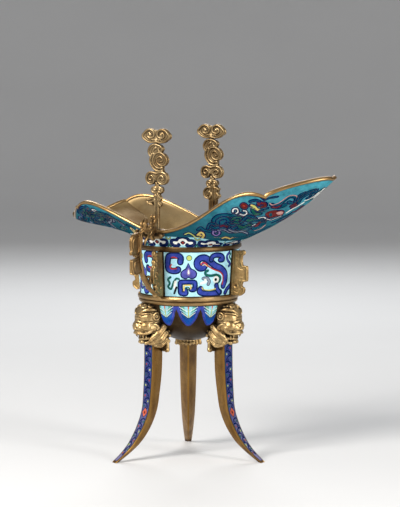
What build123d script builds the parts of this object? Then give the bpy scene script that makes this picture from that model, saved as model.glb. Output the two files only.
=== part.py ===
from build123d import *
import math
import os

os.makedirs("parts", exist_ok=True)

# ---------------------------------------------------------------------------
# Jue wine vessel, gilt bronze with cloisonne enamel.
# Millimetres. Origin on the vertical axis of the cup, in the plane the three
# feet stand on. +X points to the spout, -Y to the handle, +Z up.
# ---------------------------------------------------------------------------

# cup
BOWL_Z = 125.75          # centre of the hemispherical bowl
BOWL_R = 36.6            # bowl, outside
CUP_WALL = 2.4
SEAT_R = 36.1            # cylinder the lower moulding is pushed onto
MOULD_Z0, MOULD_Z1 = 119.85, 125.85
PANEL_R0, PANEL_R1 = 36.8, 39.2
PANEL_Z1 = 160.75
NECK_R = 38.5            # metal neck, outside
NECK_IN = 36.9           # metal neck, inside
CUP_TOP = 163.05
NECK_Z = 164.05
ENAMEL = 0.8             # depth of every enamel field
BORDER = 0.8             # gilt border left round a panel
PANEL_GAP = 3.8          # from a flange's middle to the panel beside it, degrees

# flare, rim
FLARE_WALL = 1.6
RIM_H = 2.3              # height of the gilt rim band
RIM_PROUD = 0.35
COLLAR_W = 8.8           # width of the cloud collar, measured up the wall
COLLAR_MAX = 0.84        # or this share of the wall, where it is short
TIP_EASE = 0.55
CUSP_EASE = 0.3
LOW = (-3.1, 45.9, 175.45)                      # lowest point of the rim, +Y side
SPOUT = dict(lead=43.0, q1=(58.5, 50.0, 217.45), cusp=(88.2, 38.9, 204.25),
             q2=(89.3, 39.8, 209.8), q3=(128.0, 11.8, 220.5), tip=(123.7, 0.0, 216.5),
             keel=(0.056, 0.265, 0.152, 0.61, 0.41))
TAIL = dict(lead=-17.8, q1=(-61.3, 50.9, 207.5), cusp=(-77.4, 36.3, 190.8),
            q2=(-81.5, 36.0, 193.5), q3=(-96.5, 8.0, 174.3), tip=(-104.5, 0.0, 181.8),
            keel=(0.06, 0.3, 0.78, 0.86, 0.66))
SIDE = (0.30, 0.30, 0.55, 0.62, 0.80)   # profile beside the low points
SIDE_SPAN = 0.4

# flanges
HANDLE_AZ = 268.0        # azimuth of the handle and its flange
FLANGE_T = 3.4
FLANGE_OUT = [(48.7, 160.1), (48.7, 157.2), (46.5, 156.8), (46.2, 151.6), (47.2, 148.4),
              (51.0, 148.2), (51.0, 137.2), (47.0, 136.6), (46.0, 132.0), (44.9, 130.0),
              (44.9, 126.0)]
FLANGE_HOLE = (41.6, 133.4, 0.9)

# posts
POST_X, POST_Y = -3.1, 41.8
FINIAL_T = 5.6
POST_T = 5.0
PEG_D = 2.2
FOOT_W, FOOT_W_NEAR = 7.4, 11.4          # the near foot is wider
FOOT_D, FOOT_H = 9.4, 9.0
FOOT_Y, FOOT_Z = 48.1, 174.4             # outer face, mid height

# handle
HANDLE_W = 3.8
HANDLE_OUT = [(46.4, 127.0), (51.2, 129.7), (57.4, 134.1), (65.6, 143.6), (69.7, 154.6),
              (70.5, 163.8), (70.6, 171.1), (68.9, 177.0), (62.6, 179.8)]
HANDLE_IN = [(46.4, 131.2), (50.2, 132.7), (55.6, 136.8), (62.8, 145.4), (66.7, 155.3),
             (67.4, 163.8), (67.4, 170.3), (65.9, 174.5), (61.6, 176.2)]

# legs
LEG_AZ = (0.0, 120.0, 240.0)
LEG_Z = (0.0, 7.6, 15.2, 25.9, 38.1, 51.8, 68.6, 90.7)
LEG_R = (65.5, 56.0, 49.1, 42.6, 37.9, 36.3, 35.3, 34.9)
LEG_W = (3.6, 6.2, 8.5, 10.2, 11.4, 12.3, 13.1, 13.6)
LEG_D = (2.2, 5.6, 8.5, 9.8, 10.2, 11.0, 11.9, 12.0)
LEG_RIDGE = 1.4
INLAY_EDGE = 0.9         # gilt edge each side of a leg's enamel
TENON = (5.0, 6.0, 6.5)  # radial, tangential, height
TENON_R = 29.0
PIN_D = 2.0
PIN_Z = 94.2

# heads
HEAD_SECTIONS = [  # radius, width, height, centre height, corner radius
    (25.0, 19.0, 24.0, 104.5, 6.0), (34.0, 23.4, 29.0, 102.8, 8.0), (40.0, 18.5, 22.5, 101.6, 6.5),
    (44.6, 12.8, 14.0, 99.6, 4.6), (47.2, 8.6, 8.4, 98.4, 3.0)]


def bezier(points, t):
    n = len(points) - 1
    out = [0.0, 0.0, 0.0]
    for i, p in enumerate(points):
        k = math.comb(n, i) * (1 - t) ** (n - i) * t ** i
        for j in range(3):
            out[j] += k * p[j]
    return out


def unit(v):
    d = math.sqrt(v[0] ** 2 + v[1] ** 2 + v[2] ** 2)
    return (v[0] / d, v[1] / d, v[2] / d)


def radial_plane(azimuth, origin_z=0.0):
    """Plane through the axis; local x is radial, local y is up."""
    a = math.radians(azimuth)
    return Plane(origin=(0, 0, origin_z), x_dir=(math.cos(a), math.sin(a), 0),
                 z_dir=(math.sin(a), -math.cos(a), 0))


# ---------------------------------------------------------------------------
# The flare: every level of it is a closed curve of eight edges that meet at the
# two low points, the four cusps between the lobes and the two tips.
# ---------------------------------------------------------------------------
R0 = NECK_R + ENAMEL
REACH = {"s": math.hypot(*SPOUT["tip"][:2]) - R0, "t": math.hypot(*TAIL["tip"][:2]) - R0}
LOW_REACH = math.hypot(*LOW[:2]) - R0
KEPT = {}


def rim_point(wing, lobe, t):
    """Outer top edge of the rim band."""
    w = SPOUT if wing == "s" else TAIL
    if lobe == 1:
        return bezier([LOW, (LOW[0] + w["lead"], LOW[1], LOW[2]), w["q1"], w["cusp"]], t)
    return bezier([w["cusp"], w["q2"], w["q3"], w["tip"]], t)


def profile(wing, lobe, t):
    """Control points of the wall's profile, neck to rim, at t along the rim."""
    key = (wing, lobe, t)
    if key in KEPT:
        return KEPT[key]
    w = SPOUT if wing == "s" else TAIL
    top = rim_point(wing, lobe, t)
    ang = math.atan2(top[1], top[0])
    n = (R0 * math.cos(ang), R0 * math.sin(ang), NECK_Z)
    flat, rise = (top[0] - n[0], top[1] - n[1]), top[2] - NECK_Z
    q = (math.hypot(*flat) - LOW_REACH) / (REACH[wing] - LOW_REACH) / SIDE_SPAN
    q = min(1.0, max(0.0, q))
    q = q * q * (3 - 2 * q)
    b1, a2, b2, a3, b3 = [k * q + m * (1 - q) for k, m in zip(w["keel"], SIDE)]
    u = unit((flat[0] * (1 - a3), flat[1] * (1 - a3), rise * (1 - b3)))
    end = (top[0] - u[0] * RIM_H, top[1] - u[1] * RIM_H, top[2] - u[2] * RIM_H)
    flat, rise = (end[0] - n[0], end[1] - n[1]), end[2] - NECK_Z

    def at(a, b):
        return (n[0] + flat[0] * a, n[1] + flat[1] * a, n[2] + rise * b)
    KEPT[key] = ([n, at(0, b1), at(a2, b2), at(a3, b3), end], u)
    return KEPT[key]


def skin(wing, lobe, t, s):
    """Outer face of the flare: t along the rim, s from neck (0) to rim (1)."""
    return bezier(profile(wing, lobe, t)[0], s)


def collar_level(wing, lobe, t):
    """Where the collar ends: COLLAR_W up the wall, or COLLAR_MAX of a short wall."""
    key = (wing, lobe, t, "c")
    if key not in KEPT:
        n = 60
        pts = [skin(wing, lobe, t, i / n) for i in range(n + 1)]
        run = [0.0]
        for p, q in zip(pts, pts[1:]):
            run.append(run[-1] + math.dist(p, q))
        goal = min(COLLAR_W, COLLAR_MAX * run[-1])
        i = max(j for j in range(n) if run[j] <= goal)
        KEPT[key] = (i + (goal - run[i]) / (run[i + 1] - run[i])) / n
    return KEPT[key]


def normal_one(wing, lobe, t, s):
    e = 1e-3
    t0, t1 = max(0.0, t - e), min(1.0, t + e)
    s0, s1 = max(0.0, s - e), min(1.0, s + e)
    a, b = skin(wing, lobe, t0, s), skin(wing, lobe, t1, s)
    c, d = skin(wing, lobe, t, s0), skin(wing, lobe, t, s1)
    u, v = [b[i] - a[i] for i in range(3)], [d[i] - c[i] for i in range(3)]
    n = unit((u[1] * v[2] - u[2] * v[1], u[2] * v[0] - u[0] * v[2], u[0] * v[1] - u[1] * v[0]))
    return n if wing == "t" else (-n[0], -n[1], -n[2])


def normal(wing, lobe, t, s):
    """Outward normal, eased to the mean of both sides at cusps and low points, and towards a tip."""
    if s < 1e-6:
        p = skin(wing, lobe, t, s)
        return unit((p[0], p[1], 0))
    if lobe == 2 and t > TIP_EASE:
        a, b = normal_one(wing, 2, TIP_EASE, s), normal_one(wing, 2, 1.0, s)
        b = unit((b[0], 0.0, b[2]))
        k = (t - TIP_EASE) / (1 - TIP_EASE)
        return unit([a[i] * (1 - k) + b[i] * k for i in range(3)])
    n = normal_one(wing, lobe, t, s)
    other, k = None, 0.0
    if lobe == 1 and t > 1 - CUSP_EASE:
        other, k = (normal_one(wing, 1, 1.0, s), normal_one(wing, 2, 0.0, s)), (t - 1 + CUSP_EASE) / CUSP_EASE
    elif lobe == 2 and t < CUSP_EASE:
        other, k = (normal_one(wing, 1, 1.0, s), normal_one(wing, 2, 0.0, s)), 1 - t / CUSP_EASE
    elif lobe == 1 and t < CUSP_EASE:
        other, k = (normal_one("s", 1, 0.0, s), normal_one("t", 1, 0.0, s)), 1 - t / CUSP_EASE
    if other is None:
        return n
    m = unit([other[0][i] + other[1][i] for i in range(3)])
    return unit([n[i] * (1 - k) + m[i] * k for i in range(3)])


def wall(wing, lobe, t, level, depth):
    """Point of the wall: level 0 neck, 1 collar top, 2 rim; depth below the outer face."""
    c = collar_level(wing, lobe, t)
    s = c * level if level <= 1 else c + (1 - c) * (level - 1)
    p, n = skin(wing, lobe, t, s), normal(wing, lobe, t, s)
    return Vector(*[p[i] - n[i] * depth for i in range(3)])


def lobe_edge(f, wing, lobe, side, back=False):
    n = 11 if lobe == 1 else 9
    pts = [f(wing, lobe, i / (n - 1)) for i in range(n)]
    e = 0.01
    t0 = f(wing, lobe, e) - pts[0]
    t1 = pts[-1] - f(wing, lobe, 1 - e)
    pts = [Vector(p.X, p.Y * side, p.Z) for p in pts]
    t0, t1 = Vector(t0.X, t0.Y * side, t0.Z), Vector(t1.X, t1.Y * side, t1.Z)
    if lobe == 2 or abs(pts[0].Y) < 1e-9:
        pts[-1] = Vector(pts[-1].X, 0, pts[-1].Z)
    if back:
        pts = pts[::-1]
        t0, t1 = t1 * -1, t0 * -1
    return Edge.make_spline(pts, tangents=(t0.normalized(), t1.normalized()))


ORDER = [("s", 1, 1, False), ("s", 2, 1, False), ("s", 2, -1, True), ("s", 1, -1, True),
         ("t", 1, -1, False), ("t", 2, -1, False), ("t", 2, 1, True), ("t", 1, 1, True)]


def ring(f):
    return [lobe_edge(f, w, l, s, b) for w, l, s, b in ORDER]


def circle_ring(r, z):
    cuts = []
    for w, l, s, b in ORDER:
        ends = []
        for t in ((1.0, 0.0) if b else (0.0, 1.0)):
            p = rim_point(w, l, t)
            ends.append(math.atan2(p[1] * s, p[0]))
        a0, a1 = ends
        while a1 - a0 > math.pi:
            a1 -= 2 * math.pi
        while a1 - a0 < -math.pi:
            a1 += 2 * math.pi
        m = (a0 + a1) / 2
        cuts.append(Edge.make_three_point_arc(*[Vector(r * math.cos(a), r * math.sin(a), z)
                                                for a in (a0, m, a1)]))
    return cuts


def tube_solid(rings):
    """Closed solid whose section runs round through the rings and back to the first."""
    faces = []
    for a, b in zip(rings, rings[1:] + rings[:1]):
        for e, g in zip(a, b):
            faces.append(Face.make_surface_from_curves(e, g))
    return Solid(Shell(faces))


def strip_solid(rings, part):
    """As tube_solid, for one wing only, with a flat end at each low point."""
    rings = [[r[i] for i in part] for r in rings]
    faces = []
    for a, b in zip(rings, rings[1:] + rings[:1]):
        for e, g in zip(a, b):
            faces.append(Face.make_surface_from_curves(e, g))
    for at_start in (True, False):
        corners = [(r[0] @ 0 if at_start else r[-1] @ 1) for r in rings]
        n = len(corners) // 2
        for i in range(n - 1):
            # the end is a stack of quads between the outer and inner corners
            o0, o1 = corners[i], corners[i + 1]
            i0, i1 = corners[-1 - i], corners[-2 - i]
            faces.append(Face.make_surface_from_curves(Edge.make_line(o0, i0), Edge.make_line(o1, i1)))
    return Solid(Shell(faces))


def lv(level, depth):
    return ring(lambda w, l, t: wall(w, l, t, level, depth))


LEVELS = (0.5, 1.0, 1.25, 1.5, 1.75, 2.0)
outer = {v: lv(v, 0.0) for v in LEVELS}
metal = {v: lv(v, ENAMEL) for v in LEVELS}
inner = {v: lv(v, ENAMEL + FLARE_WALL) for v in LEVELS}


def rim_edge(w, l, t, depth, up, proud=0.0):
    """Point of the rim band: depth in from the outer face, up from the wall's edge."""
    u, n = profile(w, l, t)[1], normal(w, l, t, 1.0)
    p = wall(w, l, t, 2.0, depth)
    return p + Vector(*u) * up + Vector(*n) * proud


# ---------------------------------------------------------------------------
# enamel fields let into the cup
# ---------------------------------------------------------------------------
def cone_r(z):
    return PANEL_R0 + (PANEL_R1 - PANEL_R0) * (z - MOULD_Z1) / (PANEL_Z1 - MOULD_Z1)


def panel(a0, a1):
    z0, z1 = MOULD_Z1 + BORDER, PANEL_Z1 - BORDER
    with BuildPart() as p:
        with BuildSketch(radial_plane(a0 + PANEL_GAP)):
            with BuildLine():
                Polyline((cone_r(z0), z0), (cone_r(z1), z1), (cone_r(z1) - ENAMEL, z1),
                         (cone_r(z0) - ENAMEL, z0), close=True)
            make_face()
        revolve(axis=Axis.Z, revolution_arc=a1 - a0 - 2 * PANEL_GAP)
    return p


with BuildPart() as panel_front_spout:      # between handle and spout
    add(panel(HANDLE_AZ, 360.0).part)
with BuildPart() as panel_rear_spout:
    add(panel(0.0, 90.0).part)
with BuildPart() as panel_rear_tail:
    add(panel(90.0, 180.0).part)
with BuildPart() as panel_front_tail:
    add(panel(180.0, HANDLE_AZ).part)

# three fields of lappets on the bowl, one between each pair of heads
LAPPET_Z0, LAPPET_Z1 = 101.5, 119.0
LAPPET_HALF = 37.0


def bowl_r(z, r=BOWL_R):
    return math.sqrt(r * r - (z - BOWL_Z) ** 2)


with BuildPart() as bowl_enamel:
    for mid_az in (60.0, 180.0, 300.0):
        zm = (LAPPET_Z0 + LAPPET_Z1) / 2
        deep = BOWL_R - ENAMEL
        with BuildSketch(radial_plane(mid_az - LAPPET_HALF)):
            with BuildLine():
                ThreePointArc((bowl_r(LAPPET_Z0), LAPPET_Z0), (bowl_r(zm), zm), (bowl_r(LAPPET_Z1), LAPPET_Z1))
                Line((bowl_r(LAPPET_Z1), LAPPET_Z1), (bowl_r(LAPPET_Z1, deep), LAPPET_Z1))
                ThreePointArc((bowl_r(LAPPET_Z1, deep), LAPPET_Z1), (bowl_r(zm, deep), zm),
                              (bowl_r(LAPPET_Z0, deep), LAPPET_Z0))
                Line((bowl_r(LAPPET_Z0, deep), LAPPET_Z0), (bowl_r(LAPPET_Z0), LAPPET_Z0))
            make_face()
        revolve(axis=Axis.Z, revolution_arc=2 * LAPPET_HALF)

# ---------------------------------------------------------------------------
# flanges, with two tenons each through the cup wall
# ---------------------------------------------------------------------------
TENON_Z = (134.0, 152.0)


def flange(azimuth):
    with BuildPart() as p:
        with BuildSketch(radial_plane(azimuth)):
            with BuildLine():
                Polyline((34.0, 160.1), *FLANGE_OUT, (34.0, 126.0), close=True)
            make_face()
        extrude(amount=FLANGE_T / 2, both=True)
        with BuildSketch(radial_plane(azimuth)):
            with Locations((FLANGE_HOLE[0], FLANGE_HOLE[1])):
                Circle(FLANGE_HOLE[2])
        extrude(amount=FLANGE_T, both=True, mode=Mode.SUBTRACT)
        with BuildSketch(radial_plane(azimuth)):
            with BuildLine():
                Polyline((0, 120.0), (cone_r(120.0), 120.0), (cone_r(165.0), 165.0), (0, 165.0), close=True)
            make_face()
        revolve(axis=Axis.Z, mode=Mode.SUBTRACT)
        with BuildSketch(radial_plane(azimuth)):
            for z in TENON_Z:
                with Locations((cone_r(z) + 0.4, z)):
                    Rectangle(3.2, 5.0)
        extrude(amount=1.2, both=True)
    return p


with BuildPart() as spout_flange:
    add(flange(0.0).part)
with BuildPart() as rear_flange:
    add(flange(90.0).part)
with BuildPart() as tail_flange:
    add(flange(180.0).part)
with BuildPart() as handle_flange:
    add(flange(HANDLE_AZ).part)

# ---------------------------------------------------------------------------
# cup body
# ---------------------------------------------------------------------------
r_in = BOWL_R - CUP_WALL
with BuildPart() as vessel_body:
    with BuildSketch(radial_plane(0.0)):
        with BuildLine():
            zs = BOWL_Z - math.sqrt(BOWL_R ** 2 - SEAT_R ** 2)
            am = math.radians(-45)
            ThreePointArc((0, BOWL_Z - BOWL_R), (BOWL_R * math.cos(am), BOWL_Z + BOWL_R * math.sin(am)),
                          (SEAT_R, zs))
            Polyline((SEAT_R, zs), (SEAT_R, MOULD_Z1), (PANEL_R0, MOULD_Z1), (PANEL_R1, PANEL_Z1),
                     (NECK_R, PANEL_Z1), (NECK_R, CUP_TOP), (NECK_IN, CUP_TOP), (r_in, BOWL_Z))
            ThreePointArc((r_in, BOWL_Z), (r_in * math.cos(am), BOWL_Z + r_in * math.sin(am)),
                          (0, BOWL_Z - r_in))
            Line((0, BOWL_Z - r_in), (0, BOWL_Z - BOWL_R))
        make_face()
    revolve(axis=Axis.Z)
    for cut in (panel_front_spout, panel_rear_spout, panel_rear_tail, panel_front_tail, bowl_enamel):
        add(cut.part, mode=Mode.SUBTRACT)
    for azimuth in (0.0, 90.0, 180.0, HANDLE_AZ):
        with BuildSketch(radial_plane(azimuth)):
            for z in TENON_Z:
                with Locations((cone_r(z) + 0.4, z)):
                    Rectangle(3.2, 5.0)
        extrude(amount=1.2, both=True, mode=Mode.SUBTRACT)

zs = BOWL_Z - math.sqrt(BOWL_R ** 2 - SEAT_R ** 2)
with BuildPart() as lower_moulding:
    with BuildSketch(radial_plane(0.0)):
        with BuildLine():
            Polyline((SEAT_R, zs), (37.0, zs), (37.7, zs + 0.9), (37.7, 121.8), (37.2, 122.3), (38.4, 123.0),
                     (38.6, 124.6), (38.0, MOULD_Z1), (SEAT_R, MOULD_Z1), close=True)
        make_face()
    revolve(axis=Axis.Z)

with BuildPart() as upper_fillet:
    with BuildSketch(radial_plane(0.0)):
        with BuildLine():
            Polyline((NECK_R, PANEL_Z1), (39.9, PANEL_Z1), (40.6, 161.6), (40.6, 163.1), (40.0, NECK_Z),
                     (NECK_R, NECK_Z), close=True)
        make_face()
    revolve(axis=Axis.Z)

# ---------------------------------------------------------------------------
# flare, its enamel and the rim band
# ---------------------------------------------------------------------------
neck_out0, neck_out1 = circle_ring(NECK_R, CUP_TOP), circle_ring(NECK_R, NECK_Z)
neck_in0, neck_in1 = circle_ring(NECK_IN, CUP_TOP), circle_ring(NECK_IN, NECK_Z)
neck_enamel = circle_ring(NECK_R + ENAMEL, NECK_Z)

with BuildPart() as mouth_flare:
    add(tube_solid([neck_out0, neck_out1] + [metal[v] for v in LEVELS] +
                   [inner[v] for v in reversed(LEVELS)] + [neck_in1, neck_in0]))

with BuildPart() as collar_enamel:
    add(tube_solid([neck_enamel, outer[0.5], outer[1.0], metal[1.0], metal[0.5], neck_out1]))

WING = [outer[v] for v in LEVELS[1:]] + [metal[v] for v in reversed(LEVELS[1:])]
with BuildPart() as spout_enamel:
    add(strip_solid(WING, (0, 1, 2, 3)))
with BuildPart() as tail_enamel:
    add(strip_solid(WING, (4, 5, 6, 7)))

with BuildPart() as rim_band:
    add(tube_solid([outer[2.0],
                    ring(lambda w, l, t: rim_edge(w, l, t, 0.0, 0.5, RIM_PROUD)),
                    ring(lambda w, l, t: rim_edge(w, l, t, 0.0, RIM_H - 0.5, RIM_PROUD)),
                    ring(lambda w, l, t: rim_edge(w, l, t, 0.0, RIM_H)),
                    ring(lambda w, l, t: rim_edge(w, l, t, ENAMEL + FLARE_WALL, RIM_H)),
                    inner[2.0], metal[2.0]]))

# ---------------------------------------------------------------------------
# posts with their finials
# ---------------------------------------------------------------------------
# scrolls of a post in its own plane: x from the post's axis, height, radius
SCROLLS = [(-2.6, 237.6, 3.0), (1.4, 238.2, 2.4), (-4.0, 234.2, 2.6),      # hook
           (3.0, 229.0, 6.2), (-1.4, 231.0, 3.2), (-2.2, 226.4, 3.0), (2.6, 223.4, 2.6),   # spiral
           (-4.4, 215.2, 4.4), (5.0, 215.2, 4.6), (0.4, 213.2, 3.2),      # double scroll
           (-1.4, 206.6, 3.2), (3.0, 206.6, 3.0), (0.8, 203.6, 3.0),      # knot
           (-4.6, 198.6, 2.4), (1.6, 199.6, 3.0)]                          # leaf
EYES = [(3.0, 229.0, 3.4, 2.6), (-4.4, 215.4, 2.6, 1.9), (5.0, 215.4, 2.8, 2.0)]
LOBES = [(-7.0, 247.2, 5.2), (7.0, 247.2, 5.2), (0.0, 247.6, 4.6), (-3.4, 249.2, 3.8), (3.4, 249.2, 3.8),
         (-9.6, 245.6, 2.8), (9.6, 245.6, 2.8)]


def post_plane(side):
    return Plane(origin=(POST_X, side * POST_Y, 0), x_dir=(1, 0, 0), z_dir=(0, -1, 0))


def post(side):
    pl = post_plane(side)
    with BuildPart() as p:
        # stem, a slightly tapered bar that runs up behind the scrolls
        with BuildSketch(pl):
            with BuildLine():
                Polyline((-3.2, 171.4), (3.4, 171.4), (3.2, 196.0), (1.6, 206.0), (1.4, 226.0), (0.6, 239.6),
                         (-1.6, 239.6), (-1.8, 222.0), (-1.2, 206.0), (-2.8, 196.0), close=True)
            make_face()
        extrude(amount=POST_T / 2, both=True)
        with BuildSketch(pl):
            for x, z, r in SCROLLS:
                with Locations((x, z)):
                    Circle(r)
        extrude(amount=POST_T / 2, both=True)
        # spiral eyes sunk in both faces
        for off in (POST_T / 2, -POST_T / 2 - 0.0):
            with BuildSketch(pl.offset(off)):
                for x, z, r0, r1 in EYES:
                    with Locations((x, z)):
                        Circle(r0)
                        Circle(r1, mode=Mode.SUBTRACT)
            extrude(amount=0.6, both=True, mode=Mode.SUBTRACT)
        # groove that parts the stem into two strands
        for off in (POST_T / 2, -POST_T / 2):
            with BuildSketch(pl.offset(off)):
                with Locations((0.2, 184.0)):
                    Rectangle(0.9, 20.0)
            extrude(amount=0.7, both=True, mode=Mode.SUBTRACT)
        # saddle foot over the rim; the near one also carries the handle's head
        wide = FOOT_W if side > 0 else FOOT_W_NEAR
        with Locations((POST_X - FOOT_W / 2 + wide / 2, side * (FOOT_Y - FOOT_D / 2), FOOT_Z)):
            Box(wide, FOOT_D, FOOT_H)
        # peg for the finial
        with Locations((POST_X, side * POST_Y, 241.4)):
            Cylinder(PEG_D / 2, 5.6)
    return p


def finial(side):
    pl = post_plane(side)
    with BuildPart() as p:
        with BuildSketch(pl):
            for x, z, r in LOBES:
                with Locations((x, z)):
                    Circle(r)
        extrude(amount=FINIAL_T / 2, both=True)
        for off in (FINIAL_T / 2, -FINIAL_T / 2):
            with BuildSketch(pl.offset(off)):
                for x in (-5.2, 5.2):
                    with Locations((x, 247.8)):
                        Circle(3.2)
                        Circle(2.3, mode=Mode.SUBTRACT)
            extrude(amount=0.7, both=True, mode=Mode.SUBTRACT)
        # seat and peg hole
        with Locations((POST_X, side * POST_Y, 239.6 - 2.0)):
            Box(30, 10, 4, mode=Mode.SUBTRACT)
        with Locations((POST_X, side * POST_Y, 241.9)):
            Cylinder(PEG_D / 2, 4.6, mode=Mode.SUBTRACT)
    return p


neighbours = [rim_band.part, mouth_flare.part, spout_enamel.part, tail_enamel.part, collar_enamel.part]

with BuildPart() as near_post:
    add(post(-1).part)
    for n in neighbours:
        add(n, mode=Mode.SUBTRACT)
with BuildPart() as far_post:
    add(post(1).part)
    for n in neighbours:
        add(n, mode=Mode.SUBTRACT)
with BuildPart() as near_finial:
    add(finial(-1).part)
    add(near_post.part, mode=Mode.SUBTRACT)
with BuildPart() as far_finial:
    add(finial(1).part)
    add(far_post.part, mode=Mode.SUBTRACT)

# ---------------------------------------------------------------------------
# handle: loop, its outer plates, and the beast head that holds it to the rim
# ---------------------------------------------------------------------------
with BuildPart() as handle_loop:
    with BuildSketch(radial_plane(HANDLE_AZ)):
        with BuildLine():
            Spline(*HANDLE_OUT)
            Line(HANDLE_OUT[-1], HANDLE_IN[-1])
            Spline(*HANDLE_IN[::-1])
            Line(HANDLE_IN[0], HANDLE_OUT[0])
        make_face()
    extrude(amount=HANDLE_W / 2, both=True)
    # the foot of the loop closes on the lower tab of its flange
    add(handle_flange.part, mode=Mode.SUBTRACT)

with BuildPart() as handle_plates:
    with BuildSketch(radial_plane(HANDLE_AZ)):
        with BuildLine():
            Polyline((69.2, 175.8), (74.9, 175.6), (77.4, 172.6), (78.2, 166.4), (80.6, 162.4), (80.4, 160.4),
                     (69.2, 161.2), close=True)
        make_face()
        with BuildLine():
            Polyline((68.2, 157.2), (78.2, 157.0), (78.6, 152.6), (75.6, 146.2), (64.5, 146.2), close=True)
        make_face()
    extrude(amount=1.3, both=True)
    add(handle_loop.part, mode=Mode.SUBTRACT)
    with BuildSketch(radial_plane(HANDLE_AZ)):
        with BuildLine():
            Spline(*HANDLE_IN)
            Polyline(HANDLE_IN[-1], (50, 176.6), (44, 170), (44, 128), HANDLE_IN[0])
        make_face()
    extrude(amount=4, both=True, mode=Mode.SUBTRACT)

with BuildPart() as handle_head:
    with BuildSketch(radial_plane(HANDLE_AZ)):
        with BuildLine():
            # the loop's upper end butts on the face between the jaws
            Polyline((FOOT_Y - 0.2, 170.2), (51.6, 169.2), (57.6, 170.2), (60.8, 172.6), HANDLE_IN[-1],
                     HANDLE_OUT[-1], (62.8, 182.6), (59.6, 187.0), (57.8, 181.9), (53.0, 180.4),
                     (50.2, 178.8), (FOOT_Y - 0.2, 178.6), close=True)
        make_face()
    extrude(amount=3.6, both=True)
    # eyes, right through and standing proud of both cheeks
    with BuildSketch(radial_plane(HANDLE_AZ)):
        with Locations((56.4, 177.0)):
            Circle(2.0)
    extrude(amount=4.4, both=True)
    with BuildSketch(radial_plane(HANDLE_AZ)):
        with Locations((59.4, 174.6)):
            Circle(1.2)
    extrude(amount=4.1, both=True)
    # the muzzle butts on the outer face of the near post's foot
    add(near_post.part, mode=Mode.SUBTRACT)

# ---------------------------------------------------------------------------
# legs: triangular in section, the flat outer side enamelled, a tenon at the top
# ---------------------------------------------------------------------------
def across(azimuth, r, y, z):
    """Place whose local z runs tangentially, at radius r and tangential offset y."""
    a = math.radians(azimuth)
    c, d = math.cos(a), math.sin(a)
    return Plane(origin=(c * r - d * y, d * r + c * y, z), x_dir=(c, d, 0), z_dir=(-d, c, 0)).location


def leg_section(z, r, w, d, azimuth):
    a = math.radians(azimuth)
    ux, uy = (math.cos(a), math.sin(a)), (-math.sin(a), math.cos(a))

    def at(x, y):
        return (ux[0] * x + uy[0] * y, ux[1] * x + uy[1] * y, z)
    return [at(r, -w / 2), at(r, w / 2), at(r - d, LEG_RIDGE / 2), at(r - d, -LEG_RIDGE / 2)]


def inlay(azimuth):
    """Enamel strip of a leg's outer face, from just above the foot to the head."""
    with BuildPart() as p:
        for i in range(1, 8):
            slope = (LEG_R[i - 1] - LEG_R[i]) / (LEG_Z[i] - LEG_Z[i - 1])
            with BuildSketch(Plane.XY.offset(LEG_Z[i])):
                w = LEG_W[i] - 2 * INLAY_EDGE
                d = ENAMEL * math.sqrt(1 + slope * slope)
                with BuildLine():
                    Polyline(*[pt[:2] for pt in inlay_corners(LEG_R[i], w, d, azimuth)], close=True)
                make_face()
        loft(ruled=True)
    return p


def inlay_corners(r, w, d, azimuth):
    a = math.radians(azimuth)
    ux, uy = (math.cos(a), math.sin(a)), (-math.sin(a), math.cos(a))

    def at(x, y):
        return (ux[0] * x + uy[0] * y, ux[1] * x + uy[1] * y)
    return [at(r, -w / 2), at(r, w / 2), at(r - d, w / 2), at(r - d, -w / 2)]


def leg(azimuth, strip):
    a = math.radians(azimuth)
    with BuildPart() as p:
        for z, r, w, d in zip(LEG_Z, LEG_R, LEG_W, LEG_D):
            with BuildSketch(Plane.XY.offset(z)):
                with BuildLine():
                    Polyline(*[pt[:2] for pt in leg_section(z, r, w, d, azimuth)], close=True)
                make_face()
        loft(ruled=True)
        with Locations(Location((TENON_R * math.cos(a), TENON_R * math.sin(a), LEG_Z[-1] + TENON[2] / 2),
                                (0, 0, azimuth))):
            Box(*TENON)
        add(strip, mode=Mode.SUBTRACT)
        with Locations(across(azimuth, TENON_R, 0, PIN_Z)):
            Cylinder(PIN_D / 2, 30, mode=Mode.SUBTRACT)
    return p


with BuildPart() as spout_leg_enamel:
    add(inlay(LEG_AZ[0]).part)
with BuildPart() as rear_leg_enamel:
    add(inlay(LEG_AZ[1]).part)
with BuildPart() as handle_leg_enamel:
    add(inlay(LEG_AZ[2]).part)
with BuildPart() as spout_leg:
    add(leg(LEG_AZ[0], spout_leg_enamel.part).part)
with BuildPart() as rear_leg:
    add(leg(LEG_AZ[1], rear_leg_enamel.part).part)
with BuildPart() as handle_leg:
    add(leg(LEG_AZ[2], handle_leg_enamel.part).part)

# ---------------------------------------------------------------------------
# beast heads, seated on the bowl, each holding the tenon of a leg
# ---------------------------------------------------------------------------
PIN_L = 15.0


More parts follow.
